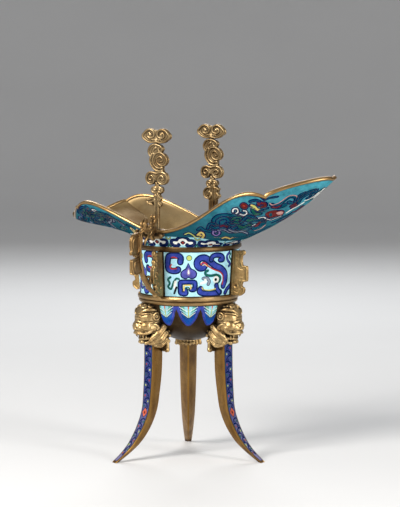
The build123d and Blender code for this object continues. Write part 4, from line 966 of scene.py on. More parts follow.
class Clay:
    """Collects closed forms, in millimetres in a local frame."""

    def __init__(self):
        self.v, self.f, self.n = [], [], 0

    def add(self, v, f):
        self.v.append(np.asarray(v, float))
        self.f += [tuple(i + self.n for i in q) for q in f]
        self.n += len(v)

    def tube(self, pts, radii, squash=None, step=0.5, sides=10):
        """Round-ended tube along a smooth path; squash=(axis, k) flattens it along an axis."""
        ctrl = np.asarray(pts, float)
        p = smooth_path(ctrl, step)
        radii = np.atleast_1d(np.asarray(radii, float))
        # radii belong to the control points: spread them by length
        d = np.concatenate([[0], np.cumsum(np.linalg.norm(np.diff(ctrl, axis=0), axis=1))])
        if len(radii) == 1:
            radii = np.full(len(ctrl), radii[0])
        if len(radii) != len(ctrl):
            radii = np.interp(d / d[-1], np.linspace(0, 1, len(radii)), radii)
        dp = np.concatenate([[0], np.cumsum(np.linalg.norm(np.diff(p, axis=0), axis=1))])
        r = np.interp(dp / max(dp[-1], 1e-9), d / max(d[-1], 1e-9), radii)
        t = np.gradient(p, axis=0)
        t /= np.maximum(np.linalg.norm(t, axis=1, keepdims=True), 1e-9)
        ref = np.array((0.0, 0.0, 1.0)) if abs(t[0][2]) < 0.8 else np.array((1.0, 0.0, 0.0))
        u = unitv(np.cross(t[0], ref))
        rings = []
        # rounded ends
        pp, rr, tt = [], [], []
        for k in (1.0, 0.7, 0.35):
            pp.append(p[0] - t[0] * r[0] * math.sin(k * math.pi / 2) * 0.98)
            rr.append(r[0] * max(0.06, math.cos(k * math.pi / 2)))
            tt.append(t[0])
        pp += list(p)
        rr += list(r)
        tt += list(t)
        for k in (0.35, 0.7, 1.0):
            pp.append(p[-1] + t[-1] * r[-1] * math.sin(k * math.pi / 2) * 0.98)
            rr.append(r[-1] * max(0.06, math.cos(k * math.pi / 2)))
            tt.append(t[-1])
        ang = np.linspace(0, 2 * math.pi, sides, endpoint=False)
        for c, q, d_ in zip(pp, rr, tt):
            u = unitv(u - d_ * np.dot(u, d_))
            w = np.cross(d_, u)
            off = (np.outer(np.cos(ang), u) + np.outer(np.sin(ang), w)) * q
            if squash:
                ax, k = np.asarray(squash[0], float), squash[1]
                off = off - np.outer(off @ ax, ax) * (1 - k)
            rings.append(c + off)
        m = len(rings)
        v = np.vstack(rings)
        f = []
        for i in range(m - 1):
            for k in range(sides):
                j = (k + 1) % sides
                f.append((i * sides + k, i * sides + j, (i + 1) * sides + j, (i + 1) * sides + k))
        f.append(tuple(range(sides))[::-1])
        f.append(tuple((m - 1) * sides + k for k in range(sides)))
        self.add(v, f)

    def ball(self, c, r, axes=None, seg=14):
        """Ellipsoid with half sizes r along axes (rows)."""
        r = np.broadcast_to(np.asarray(r, float), 3)
        ax = np.eye(3) if axes is None else np.asarray(axes, float)
        v = [(0, 0, 1)]
        rows = seg // 2
        for i in range(1, rows):
            th = math.pi * i / rows
            for k in range(seg):
                ph = 2 * math.pi * k / seg
                v.append((math.sin(th) * math.cos(ph), math.sin(th) * math.sin(ph), math.cos(th)))
        v.append((0, 0, -1))
        v = (np.array(v) * r) @ ax + np.asarray(c, float)
        f = [(0, 1 + k, 1 + (k + 1) % seg) for k in range(seg)]
        for i in range(rows - 2):
            a, b = 1 + i * seg, 1 + (i + 1) * seg
            f += [(a + k, b + k, b + (k + 1) % seg, a + (k + 1) % seg) for k in range(seg)]
        last = len(v) - 1
        a = 1 + (rows - 2) * seg
        f += [(last, a + (k + 1) % seg, a + k) for k in range(seg)]
        self.add(v, f)

    def prism(self, poly, origin, ex, ey, ez, h0, h1):
        """Outline in ex, ey, from h0 to h1 along ez."""
        p = np.asarray(poly, float)
        n = len(p)
        base = np.asarray(origin, float) + np.outer(p[:, 0], ex) + np.outer(p[:, 1], ey)
        v = np.vstack([base + np.asarray(ez, float) * h0, base + np.asarray(ez, float) * h1])
        f = [tuple(range(n))[::-1], tuple(range(n, 2 * n))]
        f += [(k, (k + 1) % n, n + (k + 1) % n, n + k) for k in range(n)]
        self.add(v, f)

    def raw(self):
        me = bpy.data.meshes.new("clay")
        me.from_pydata([tuple(q) for q in np.vstack(self.v) * MM], [], self.f)
        me.update()
        bm = bmesh.new()
        bm.from_mesh(me)
        bmesh.ops.recalc_face_normals(bm, faces=bm.faces)
        bm.to_mesh(me)
        bm.free()
        return me

    def fused(self, voxel, smooth=2, strength=0.5):
        """Fused mesh as numpy points (mm) and faces."""
        me = self.raw()
        o = bpy.data.objects.new("clay", me)
        scene.collection.objects.link(o)
        m = o.modifiers.new("fuse", "REMESH")
        m.mode, m.voxel_size, m.adaptivity = "VOXEL", voxel * MM, 0.0
        dg = bpy.context.evaluated_depsgraph_get()
        res = bpy.data.meshes.new_from_object(o.evaluated_get(dg))
        v = np.zeros(len(res.vertices) * 3)
        res.vertices.foreach_get("co", v)
        v = v.reshape(-1, 3) / MM
        f = np.zeros(len(res.loops), np.int64)
        res.loops.foreach_get("vertex_index", f)
        tot = np.zeros(len(res.polygons), np.int64)
        res.polygons.foreach_get("loop_total", tot)
        if len(tot) and tot.min() == tot.max() == 4:
            f = f.reshape(-1, 4)
        else:
            f = np.array([tuple(q.vertices) if len(q.vertices) == 4 else (*q.vertices, q.vertices[-1])
                          for q in res.polygons])
        bpy.data.objects.remove(o)
        bpy.data.meshes.remove(res)
        v, f = biggest(v, f)
        return smoothed(v, f, smooth, strength), f


def biggest(v, f, keep=0.02):
    """Drops loose crumbs and closed hollows inside, keeping shells that have a fair share of faces."""
    n = len(v)
    lab = np.arange(n)
    e = np.vstack([f[:, [0, 1]], f[:, [1, 2]], f[:, [2, 3]], f[:, [3, 0]]])
    while True:
        m = np.minimum(lab[e[:, 0]], lab[e[:, 1]])
        new = lab.copy()
        np.minimum.at(new, e[:, 0], m)
        np.minimum.at(new, e[:, 1], m)
        new = new[new]
        if (new == lab).all():
            break
        lab = new
    fl = lab[f[:, 0]]
    ids, cnt = np.unique(fl, return_counts=True)
    good = []
    for i, c in zip(ids, cnt):
        if c < keep * len(f):
            continue
        q = v[f[fl == i]]
        # signed volume: an inner void turns its faces the other way
        vol = np.einsum("ij,ij->i", q[:, 0], np.cross(q[:, 1], q[:, 2])).sum() + \
            np.einsum("ij,ij->i", q[:, 0], np.cross(q[:, 2], q[:, 3])).sum()
        if vol > 0:
            good.append(i)
    m = np.isin(fl, good)
    f = f[m]
    used = np.unique(f)
    back = np.full(n, -1)
    back[used] = np.arange(len(used))
    return v[used], back[f]


def smoothed(v, f, times, strength=0.5):
    e = np.unique(np.sort(np.vstack([f[:, [0, 1]], f[:, [1, 2]], f[:, [2, 3]], f[:, [3, 0]]]), 1), axis=0)
    deg = np.bincount(e.ravel(), minlength=len(v))[:, None]
    for k in range(times * 2):
        s = np.zeros_like(v)
        for c in range(3):
            s[:, c] = np.bincount(e[:, 0], v[e[:, 1], c], len(v)) + np.bincount(e[:, 1], v[e[:, 0], c], len(v))
        w = strength if k % 2 == 0 else -strength * 0.9 if times > 1 else 0
        v = v + (s / np.maximum(deg, 1) - v) * w
    return v


def normals(v, f):
    n = np.zeros_like(v)
    fn = np.cross(v[f[:, 2]] - v[f[:, 0]], v[f[:, 3]] - v[f[:, 1]])
    for k in range(4):
        for c in range(3):
            n[:, c] += np.bincount(f[:, k], fn[:, c], len(v))
    return n / np.maximum(np.linalg.norm(n, axis=1, keepdims=True), 1e-12)


def engrave(v, f, paths, width, depth, step=0.3):
    """Pushes the surface in along the paths (positive depth) or raises it (negative)."""
    from mathutils.kdtree import KDTree
    pts = np.vstack([smooth_path(p, step) for p in paths])
    tree = KDTree(len(pts))
    for i, p in enumerate(pts):
        tree.insert(p, i)
    tree.balance()
    lo, hi = pts.min(0) - 3 * width, pts.max(0) + 3 * width
    near = np.where(((v > lo) & (v < hi)).all(1))[0]
    d = np.array([tree.find(v[i])[2] for i in near])
    n = normals(v, f)
    v = v.copy()
    v[near] -= n[near] * (depth * np.exp(-(d / width) ** 2))[:, None]
    return v


def spiral(c, ex, ey, r0, r1, turns, start=0.0, hand=1, n=None):
    """Points of a spiral about c in the plane ex, ey, from radius r0 to r1."""
    n = n or max(8, int(turns * 14))
    k = np.linspace(0, 1, n)
    a = start + hand * k * turns * 2 * math.pi
    r = r0 + (r1 - r0) * k ** 0.9
    return np.asarray(c, float) + np.outer(np.cos(a) * r, ex) + np.outer(np.sin(a) * r, ey)


def cast(name, v, f, mat, azimuth=0.0, shift=(0, 0, 0)):
    """Final mesh from local millimetres; local x is radial at the azimuth."""
    a = math.radians(azimuth)
    rot = np.array(((math.cos(a), math.sin(a), 0), (-math.sin(a), math.cos(a), 0), (0, 0, 1)))
    return mesh_object(name, (v @ rot + np.asarray(shift, float)) * MM, f, [mat])


X, Y, Z = np.eye(3)

# ---------------------------------------------------------------------------
# posts and caps: flat clouds of rolled bands, ridged on both faces
# ---------------------------------------------------------------------------
def cloud_plate(clay, discs, half):
    for x, z, r in discs:
        k = np.linspace(0, 2 * math.pi, 22, endpoint=False)
        clay.prism(np.stack([x + r * np.cos(k), z + r * np.sin(k)], 1), (0, 0, 0), X, Z, Y, -half, half)


def on_faces(clay, paths, half, r):
    for s in (-1, 1):
        for p in paths:
            q = np.array([(x, s * half, z) for x, z in p])
            clay.tube(q, r, step=0.4, sides=8)


def flat_spiral(cx, cz, r0, r1, turns, start, hand):
    q = spiral((cx, 0, cz), X, Z, r0, r1, turns, start, hand)
    return [(a[0], a[2]) for a in q]


def post_paths(near):
    ridge = []
    # hook: a band that rolls over at its right end
    ridge.append([(-4.6, 231.5), (-6.4, 235.4), (-4.6, 239.4), (-0.8, 240.6), (3.4, 239.6), (5.4, 237.6), (4.4, 235.7),
                  (2.4, 235.9), (2.2, 237.2)])
    ridge.append([(-1.6, 233.4), (-2.6, 235.4), (-1.4, 237.6), (0.2, 238.2)])
    # big spiral with its tail
    ridge.append([(-3.4, 233.4), (-5.0, 229.0), (-3.8, 225.2), (-1.0, 222.0), (2.4, 220.9), (5.6, 221.4)])
    ridge.append([(5.4, 223.4), (1.6, 223.2), (-1.6, 225.6), (-2.6, 229.4), (-0.6, 233.6), (3.4, 234.6), (7.6, 232.4),
                  (9.2, 228.8), (7.2, 225.6), (3.6, 225.4), (1.0, 227.6), (1.0, 230.4), (3.4, 231.8), (5.6, 230.4),
                  (5.4, 228.4), (3.8, 228.0)])
    # double scroll
    for s, cx, k in ((-1, -4.4, 0.9), (1, 4.8, 1.06)):
        ridge.append([(0.2, 219.0), (cx - s * 0.4, 219.8 + 0.2 * k), (cx + s * 3.0 * k, 218.8), (cx + s * 4.4 * k, 215.6),
                      (cx + s * 3.2 * k, 212.4), (cx + s * 0.2, 211.2), (cx - s * 2.4 * k, 212.6),
                      (cx - s * 2.8 * k, 215.4), (cx - s * 0.6, 217.4), (cx + s * 1.6, 216.4), (cx + s * 1.4, 214.6),
                      (cx, 214.4)])
    # knot
    ridge.append(flat_spiral(-1.7, 206.4, 2.7, 0.5, 1.3, 0.4, 1))
    ridge.append(flat_spiral(3.2, 206.6, 2.7, 0.5, 1.3, 2.6, -1))
    if near:
        ridge.append([(0.4, 203.0), (-2.4, 200.6), (-5.6, 199.6), (-8.0, 198.6), (-6.4, 196.4), (-3.4, 195.8)])
        ridge.append([(-0.8, 199.4), (-3.6, 197.9), (-6.8, 197.2)])
        ridge.append([(1.8, 203.4), (3.6, 200.4), (2.2, 197.6), (4.0, 195.0)])
    else:
        ridge.append([(-0.2, 203.6), (-3.8, 203.0), (-6.2, 199.8), (-5.0, 196.0), (-1.6, 195.0), (0.2, 197.4),
                      (-1.0, 200.0), (-3.0, 199.4), (-2.8, 197.8)])
        ridge.append([(2.6, 204.0), (6.4, 202.4), (4.6, 200.2), (7.0, 197.0), (4.6, 194.8), (4.0, 190.4)])
    return ridge


def make_post(near):
    """In the post's own frame: x along the mouth, y across the post, z up."""
    c = Clay()
    discs = [(-3.2, 236.6, 3.2), (-0.6, 237.8, 3.1), (3.4, 237.5, 2.3), (-3.4, 233.2, 2.6),
             (3.1, 229.2, 6.0), (-1.0, 229.0, 4.4), (-1.4, 225.4, 3.4), (1.6, 223.4, 2.8), (4.4, 222.4, 1.7),
             (-4.4, 215.4, 4.2), (4.9, 215.5, 4.7), (0.4, 216.4, 3.0),
             (-1.7, 206.4, 3.0), (3.2, 206.6, 2.9), (0.7, 209.6, 1.9), (0.8, 204.4, 2.8), (1.0, 199.8, 3.0)]
    if near:
        discs += [(-2.4, 199.0, 2.2), (-5.2, 198.0, 1.7), (2.0, 196.2, 2.6)]
    else:
        discs += [(-2.9, 199.2, 3.9), (4.2, 200.4, 2.7), (4.6, 196.6, 2.7), (1.6, 195.6, 3.0)]
    cloud_plate(c, [(x, z, r * 0.97) for x, z, r in discs], 1.1)
    # serrations up the left of the spiral
    for x, z, r in ((-5.9, 232.0, 1.0), (-6.1, 229.5, 0.95), (-5.6, 227.2, 0.95), (-4.7, 225.0, 0.95), (-3.2, 223.0, 0.9)):
        c.tube([(x + 1.6, 0, z - 0.4), (x, 0, z + 0.5)], [1.3, 0.55], squash=(Y, 1.35))
    for p in post_paths(near):
        for s in (-1, 1):
            c.tube([(x, s * 1.3, z) for x, z in p], 0.82, step=0.4, sides=10)
    # knobs between the clouds
    for z in (241.0, 220.6, 210.2):
        c.tube([(0.0, 0, z - 1.6), (0.0, 0, z + 1.4)], [1.7, 1.5])
    # the stem: two strands with a thinner third between them
    c.tube([(-0.8, 0, 205), (-1.0, 0.0, 198), (-1.3, 0, 190), (-1.4, 0, 182), (-1.7, 0, 172.6)], [1.5, 1.35, 1.2, 1.25, 1.6],
           squash=(Y, 1.3))
    c.tube([(1.2, 0, 205), (1.5, 0.0, 198), (1.4, 0, 190), (1.35, 0, 182), (1.5, 0, 172.6)], [1.5, 1.35, 1.15, 1.2, 1.6],
           squash=(Y, 1.3))
    c.tube([(0.1, 0, 208), (0.1, 0, 190), (-0.1, 0, 172.8)], [1.0, 0.8, 1.2])
    # seat of the cap
    c.tube([(0, 0, 238.4), (0, 0, 243.0)], [1.5, 1.3])
    # saddle foot, waisted, over the rim
    wide = 5.3 if near else 3.7
    shift = 2.0 if near else 0.0
    out = -1 if near else 1
    c.tube([(shift - wide + 1.9, 0, 174.6), (shift + wide - 1.9, 0, 174.6)], 3.1)
    c.tube([(shift - wide + 2.2, out * 3.7, 172.6), (shift + wide - 2.2, out * 3.7, 172.6)], 2.4)
    c.tube([(shift - wide + 2.2, -out * 1.2, 172.4), (shift + wide - 2.2, -out * 1.2, 172.4)], 1.8)
    v, f = c.fused(0.3, 2, 0.5)
    # grooves between the strands
    g = [[(0.1, s * 3, 204), (0.1, s * 3, 190), (-0.1, s * 3, 176)] for s in (-0.7, 0.7)]
    v = engrave(v, f, g, 0.5, 0.35)
    return v, f


def make_cap():
    c = Clay()
    discs = [(-5.0, 248.6, 3.9), (-8.6, 246.6, 3.2), (-5.4, 244.6, 3.0), (5.0, 248.6, 3.9), (8.6, 246.6, 3.2),
             (5.4, 244.6, 3.0), (0.0, 247.2, 4.4), (-2.8, 245.0, 2.4), (2.8, 245.0, 2.4), (0, 244.6, 2.2)]
    cloud_plate(c, [(x, z, r * 0.97) for x, z, r in discs], 1.2)
    for s in (-1, 1):
        # the outer band of each half, rolling in to its spiral
        band = [(0.0, 242.9), (s * 3.2, 242.2), (s * 6.4, 242.6), (s * 8.8, 243.9), (s * 11.0, 245.6), (s * 11.3, 247.5),
                (s * 9.8, 249.3), (s * 7.6, 251.2), (s * 4.8, 251.8), (s * 2.3, 250.6), (s * 1.3, 248.2),
                (s * 2.4, 246.2), (s * 4.6, 245.4), (s * 6.8, 246.4), (s * 7.0, 248.4), (s * 5.4, 249.2),
                (s * 4.4, 248.2)]
        for y in (-1.45, 1.45):
            c.tube([(x, y, z) for x, z in band], 0.88, step=0.4, sides=10)
            c.ball((s * 4.6, y * 1.05, 247.9), (1.5, 1.1, 1.5))
        for y in (-1.3, 1.3):
            c.tube([(s * 1.2, y, 244.3), (s * 4.4, y, 243.9)], 0.5, step=0.4, sides=8)
    c.tube([(0, 0, 240.6), (0, 0, 244.0)], [1.6, 1.9])
    return c.fused(0.28, 2, 0.5)


cap = make_cap()
POST_X, POST_Y = -3.1, 41.8
for name, near in (("near", True), ("far", False)):
    y = -POST_Y if near else POST_Y
    v, f = make_post(near)
    if near:                 # the outer face of the near post looks to -Y
        v = v * (1, 1, 1)
    done(cast("post_" + name, v, f, M["post"], shift=(POST_X, y, 0)), "gilt_bronze", name + "_post")
    done(cast("cap_" + name, cap[0], cap[1], M["post"], shift=(POST_X, y, 0)), "gilt_bronze", name + "_finial")

# ---------------------------------------------------------------------------
# handle: three strands, two leaf plates on its back, a dragon's head that bites the rim
# ---------------------------------------------------------------------------
LOOP = [(46.4, 129.1), (50.6, 131.0), (56.4, 135.4), (64.1, 144.4), (68.0, 154.9), (68.9, 163.8), (69.0, 170.7),
        (67.3, 175.8), (62.4, 178.2)]
HANDLE_AZ, HANDLE_R = 268.0, 80.4


def radial(pts, y=0.0):
    return [(r, y, z) for r, z in pts]


c = Clay()
for y in (-0.95, 0.0, 0.95):
    c.tube(radial(LOOP, y), [1.25] * 8 + [1.4], step=0.6)
# a cord that winds once round the loop, and the scroll in its lower bend
for s in (-1, 1):
    c.tube([(61.0, s * 0.9, 141.6), (58.8, s * 1.4, 143.4), (56.6, s * 1.4, 142.2), (56.4, s * 1.3, 139.6),
            (58.0, s * 1.1, 138.8), (58.8, s * 1.0, 140.4)], [1.1, 1.0, 0.95, 0.9, 0.8, 0.6])
    c.tube([(64.6, s * 1.2, 147.4), (66.6, s * 1.7, 151.0), (68.4, s * 1.6, 155.6), (69.4, s * 1.0, 160.0)],
           [0.5, 0.75, 0.75, 0.4], sides=8)
    c.tube([(69.2, s * 1.2, 163.4), (68.2, s * 1.7, 168.0), (67.0, s * 1.6, 172.4), (64.4, s * 1.0, 175.6)],
           [0.5, 0.75, 0.75, 0.4], sides=8)
c.tube(radial([(55.4, 136.0), (53.4, 138.8), (51.4, 138.2)]), [1.5, 1.2, 0.8])
v, f = c.fused(0.28, 2, 0.5)
for y in (-0.5, 0.5):
    for off in (1.2, -1.3):
        v = engrave(v, f, [[(r + off * math.cos(math.radians(20)), y, z) for r, z in LOOP[1:-1]]], 0.3, 0.3)
v[:, 0] = np.minimum(v[:, 0], HANDLE_R)
done(cast("handle_strands", v, f, M["handle"], HANDLE_AZ), "gilt_bronze", "handle_loop")

c = Clay()
PLATE1 = [(70.0, 175.9), (73.4, 176.2), (76.6, 175.8), (79.0, 174.0), (80.0, 171.2), (80.1, 167.2), (79.2, 163.9),
          (80.2, 162.9), (80.0, 161.2), (77.4, 160.9), (74.4, 160.8), (71.6, 161.6), (70.2, 163.4), (69.8, 170.0)]
PLATE2 = [(68.4, 158.0), (72.4, 157.8), (77.2, 157.2), (79.2, 156.2), (79.0, 152.6), (78.0, 149.4), (76.6, 147.0),
          (73.6, 146.3), (69.0, 146.8), (66.2, 148.6), (67.8, 153.4)]
for poly in (PLATE1, PLATE2):
    q = closed_path(poly, 0.8)
    c.prism(q, (0, 0, 0), X, Z, Y, -0.75, 0.75)
    for s in (-1, 1):
        c.tube([(a, s * 0.7, b) for a, b in np.vstack([q, q[:1]])], 0.5, step=0.7, sides=8)
c.tube(radial([(78.6, 164.2), (79.4, 162.0)]), [1.3, 0.8])
c.tube(radial([(75.4, 161.6), (74.6, 160.4), (76.2, 159.6)]), [1.0, 0.9, 0.6])
for s in (-1, 1):
    c.tube([(71.0, s * 0.8, 174.0), (75.0, s * 0.9, 173.8), (77.6, s * 0.9, 171.0), (77.4, s * 0.8, 166.2)],
           [0.4, 0.5, 0.5, 0.35], sides=8)
    c.tube([(70.4, s * 0.8, 156.2), (74.8, s * 0.9, 155.4), (76.2, s * 0.9, 152.6), (74.8, s * 0.8, 149.2)],
           [0.4, 0.5, 0.5, 0.35], sides=8)
v, f = c.fused(0.28, 2, 0.5)
v[:, 0] = np.minimum(v[:, 0], HANDLE_R)
done(cast("handle_leaves", v, f, M["handle"], HANDLE_AZ), "gilt_bronze", "handle_plates")

c = Clay()
# skull and snout lie along the loop's top; the snout bites the post's foot
c.tube(radial([(63.8, 177.6), (59.4, 178.4), (54.6, 177.6), (50.4, 176.8), (48.6, 176.4)]), [2.5, 3.2, 3.0, 2.6, 2.2])
c.tube(radial([(61.0, 174.4), (56.4, 173.0), (52.4, 172.8), (50.2, 173.6)]), [1.8, 1.9, 1.7, 1.2])
for s in (-1, 1):
    # upper lip, nostril, eye and its lid
    c.tube([(49.4, s * 2.0, 178.2), (53.0, s * 2.8, 178.4), (56.8, s * 3.2, 176.8), (58.4, s * 3.1, 174.8)],
           [1.1, 1.0, 0.9, 0.7])
    c.ball((50.4, s * 1.8, 179.4), 1.25)
    c.ball((58.4, s * 3.0, 179.6), 1.3)
    c.tube([(55.8, s * 3.1, 180.2), (58.0, s * 3.4, 181.7), (60.6, s * 3.1, 181.0)], [0.6, 0.85, 0.6])
    # ear leaf and horn that stand up beside each other
    c.tube([(62.6, s * 1.1, 179.4), (63.0, s * 1.3, 182.6), (61.6, s * 1.2, 184.8), (60.0, s * 1.0, 186.6)],
           [2.0, 1.9, 1.3, 0.5], squash=(Y, 0.7))
    c.tube([(56.4, s * 1.8, 180.6), (56.2, s * 2.0, 183.2), (54.2, s * 1.9, 185.4)], [1.4, 1.1, 0.5])
    # branches to the post's stem
    c.tube([(60.0, s * 1.4, 181.0), (54.0, s * 1.3, 181.6), (48.4, s * 1.2, 183.4), (44.8, s * 1.0, 187.4)],
           [1.2, 1.1, 1.0, 0.7])
    c.tube([(52.0, s * 1.4, 180.8), (49.6, s * 1.5, 184.4), (50.2, s * 1.4, 187.4), (48.4, s * 1.2, 188.6)],
           [1.0, 1.0, 0.8, 0.4])
    # mane that curls back along the loop
    c.tube([(60.4, s * 2.5, 177.0), (64.0, s * 3.1, 176.4), (67.2, s * 2.9, 178.2), (70.2, s * 2.0, 176.6)],
           [1.3, 1.25, 1.1, 0.8])
    c.tube([(60.2, s * 2.6, 175.0), (63.2, s * 3.2, 172.6), (65.2, s * 2.9, 169.6), (64.4, s * 2.2, 167.4)],
           [1.3, 1.2, 1.0, 0.5])
    c.tube([(56.6, s * 2.2, 173.2), (54.6, s * 2.5, 170.8), (52.2, s * 2.5, 170.6), (51.4, s * 2.3, 172.2)],
           [1.2, 1.1, 0.9, 0.6])
v, f = c.fused(0.28, 2, 0.5)
for s in (-1, 1):
    v = engrave(v, f, [[(62.8, s * 2.8, 184.6), (63.2, s * 2.4, 181.4)], [(61.4, s * 4.0, 176.6), (65.2, s * 4.2, 176.8)]],
                0.4, 0.4)
done(cast("handle_dragon", v, f, M["handle"], HANDLE_AZ), "gilt_bronze", "handle_head")

# ---------------------------------------------------------------------------
# flanges
# ---------------------------------------------------------------------------
FLANGE = [(37.6, 160.0), (47.6, 160.1), (48.7, 159.2), (48.7, 157.6), (47.6, 156.9), (46.6, 156.2), (46.2, 152.0),
          (47.0, 149.0), (48.4, 148.2), (50.4, 148.1), (51.0, 147.2), (51.0, 138.2), (50.2, 137.2), (47.6, 136.8),
          (46.7, 135.6), (46.2, 133.6), (47.0, 132.2), (48.4, 131.4), (48.2, 128.6), (46.4, 127.0), (44.9, 126.1),
          (37.2, 126.1)]


def rect_path(pts, step=0.7):
    p = np.asarray(pts, float)
    out = []
    for a, b in zip(p, np.roll(p, -1, 0)):
        n = max(1, int(np.linalg.norm(b - a) / step))
        out += [a + (b - a) * k / n for k in range(n)]
    return np.array(out)


def make_flange(knobbly):
    c = Clay()
    q = rect_path(FLANGE)
    c.prism(q, (0, 0, 0), X, Z, Y, -1.3, 1.3)
    for s in (-1, 1):
        y = s * 1.12
        # raised edge that follows the outline, and the scrolls inside it
        c.tube([(a, y, b) for a, b in FLANGE[1:-1]], 0.6, step=0.6, sides=8)
    if knobbly:
        for k, (r, z, b) in enumerate(((48.6, 159.6, 2.2), (46.8, 156.4, 1.9), (48.8, 153.0, 2.3), (49.0, 149.2, 2.2),
                                       (47.0, 145.6, 2.0), (48.0, 142.0, 2.1), (46.2, 138.0, 2.0), (47.4, 134.4, 1.9),
                                       (45.4, 131.0, 2.0), (46.6, 127.9, 1.7))):
            c.ball((r, 0, z), (b, 1.75 + 0.2 * (k % 2), b))
            for s in (-1, 1):
                c.ball((r - 1.8, s * 1.3, z - 1.0), (1.3, 0.7, 1.3))
    v, f = c.fused(0.32, 2, 0.5)
    holes = [[(41.5, s * 1.4, 133.4), (41.7, s * 1.4, 133.4)] for s in (-1, 1)]
    v = engrave(v, f, holes, 0.8, 1.1)
    cuts = []
    for y in (-1.5, 1.5):
        cuts += [[(41.0, y, 158.4), (44.0, y, 158.2), (44.4, y, 155.0), (42.6, y, 154.6)],
                 [(43.6, y, 152.4), (43.8, y, 148.0), (46.0, y, 146.2), (48.6, y, 145.6), (48.6, y, 141.2), (46.2, y, 140.4)],
                 [(46.0, y, 138.4), (43.6, y, 137.6), (43.9, y, 133.6)],
                 [(40.6, y, 129.2), (43.4, y, 128.4), (45.4, y, 129.8)],
                 [(40.6, y, 160.0), (40.2, y, 146.0), (39.2, y, 127.0)]]
    v = engrave(v, f, cuts, 0.3, 0.35)
    return v, f


plain, knobs = make_flange(False), make_flange(True)
for node, az in (("spout_flange", 0.0), ("rear_flange", 90.0), ("tail_flange", 180.0), ("handle_flange", HANDLE_AZ)):
    v, f = knobs if node == "handle_flange" else plain
    done(cast("cast_" + node, v, f, M["flange"], az), "gilt_bronze", node)

# ---------------------------------------------------------------------------
# beast heads
# ---------------------------------------------------------------------------
def curl(c, at, normal, r0, r1, turns, start, hand, radii):
    """A rolled lock that lies flat on the skull."""
    n = unitv(normal)
    ex = unitv(np.cross(n, (0.0, 0.0, 1.0)) if abs(n[2]) < 0.9 else np.cross(n, (0.0, 1.0, 0.0)))
    c.tube(spiral(at, ex, np.cross(n, ex), r0, r1, turns, start, hand), radii, step=0.4)


SKULL, SKULL_R = np.array((34.7, 0.0, 108.6)), np.array((10.8, 10.6, 10.8))


def on_skull(turn, lift, k=1.0):
    """Point of the skull's surface: turn from the nose towards +y, lift above the level, degrees."""
    t, u = math.radians(turn), math.radians(lift)
    return SKULL + SKULL_R * np.array((math.cos(u) * math.cos(t), math.cos(u) * math.sin(t), math.sin(u))) * k


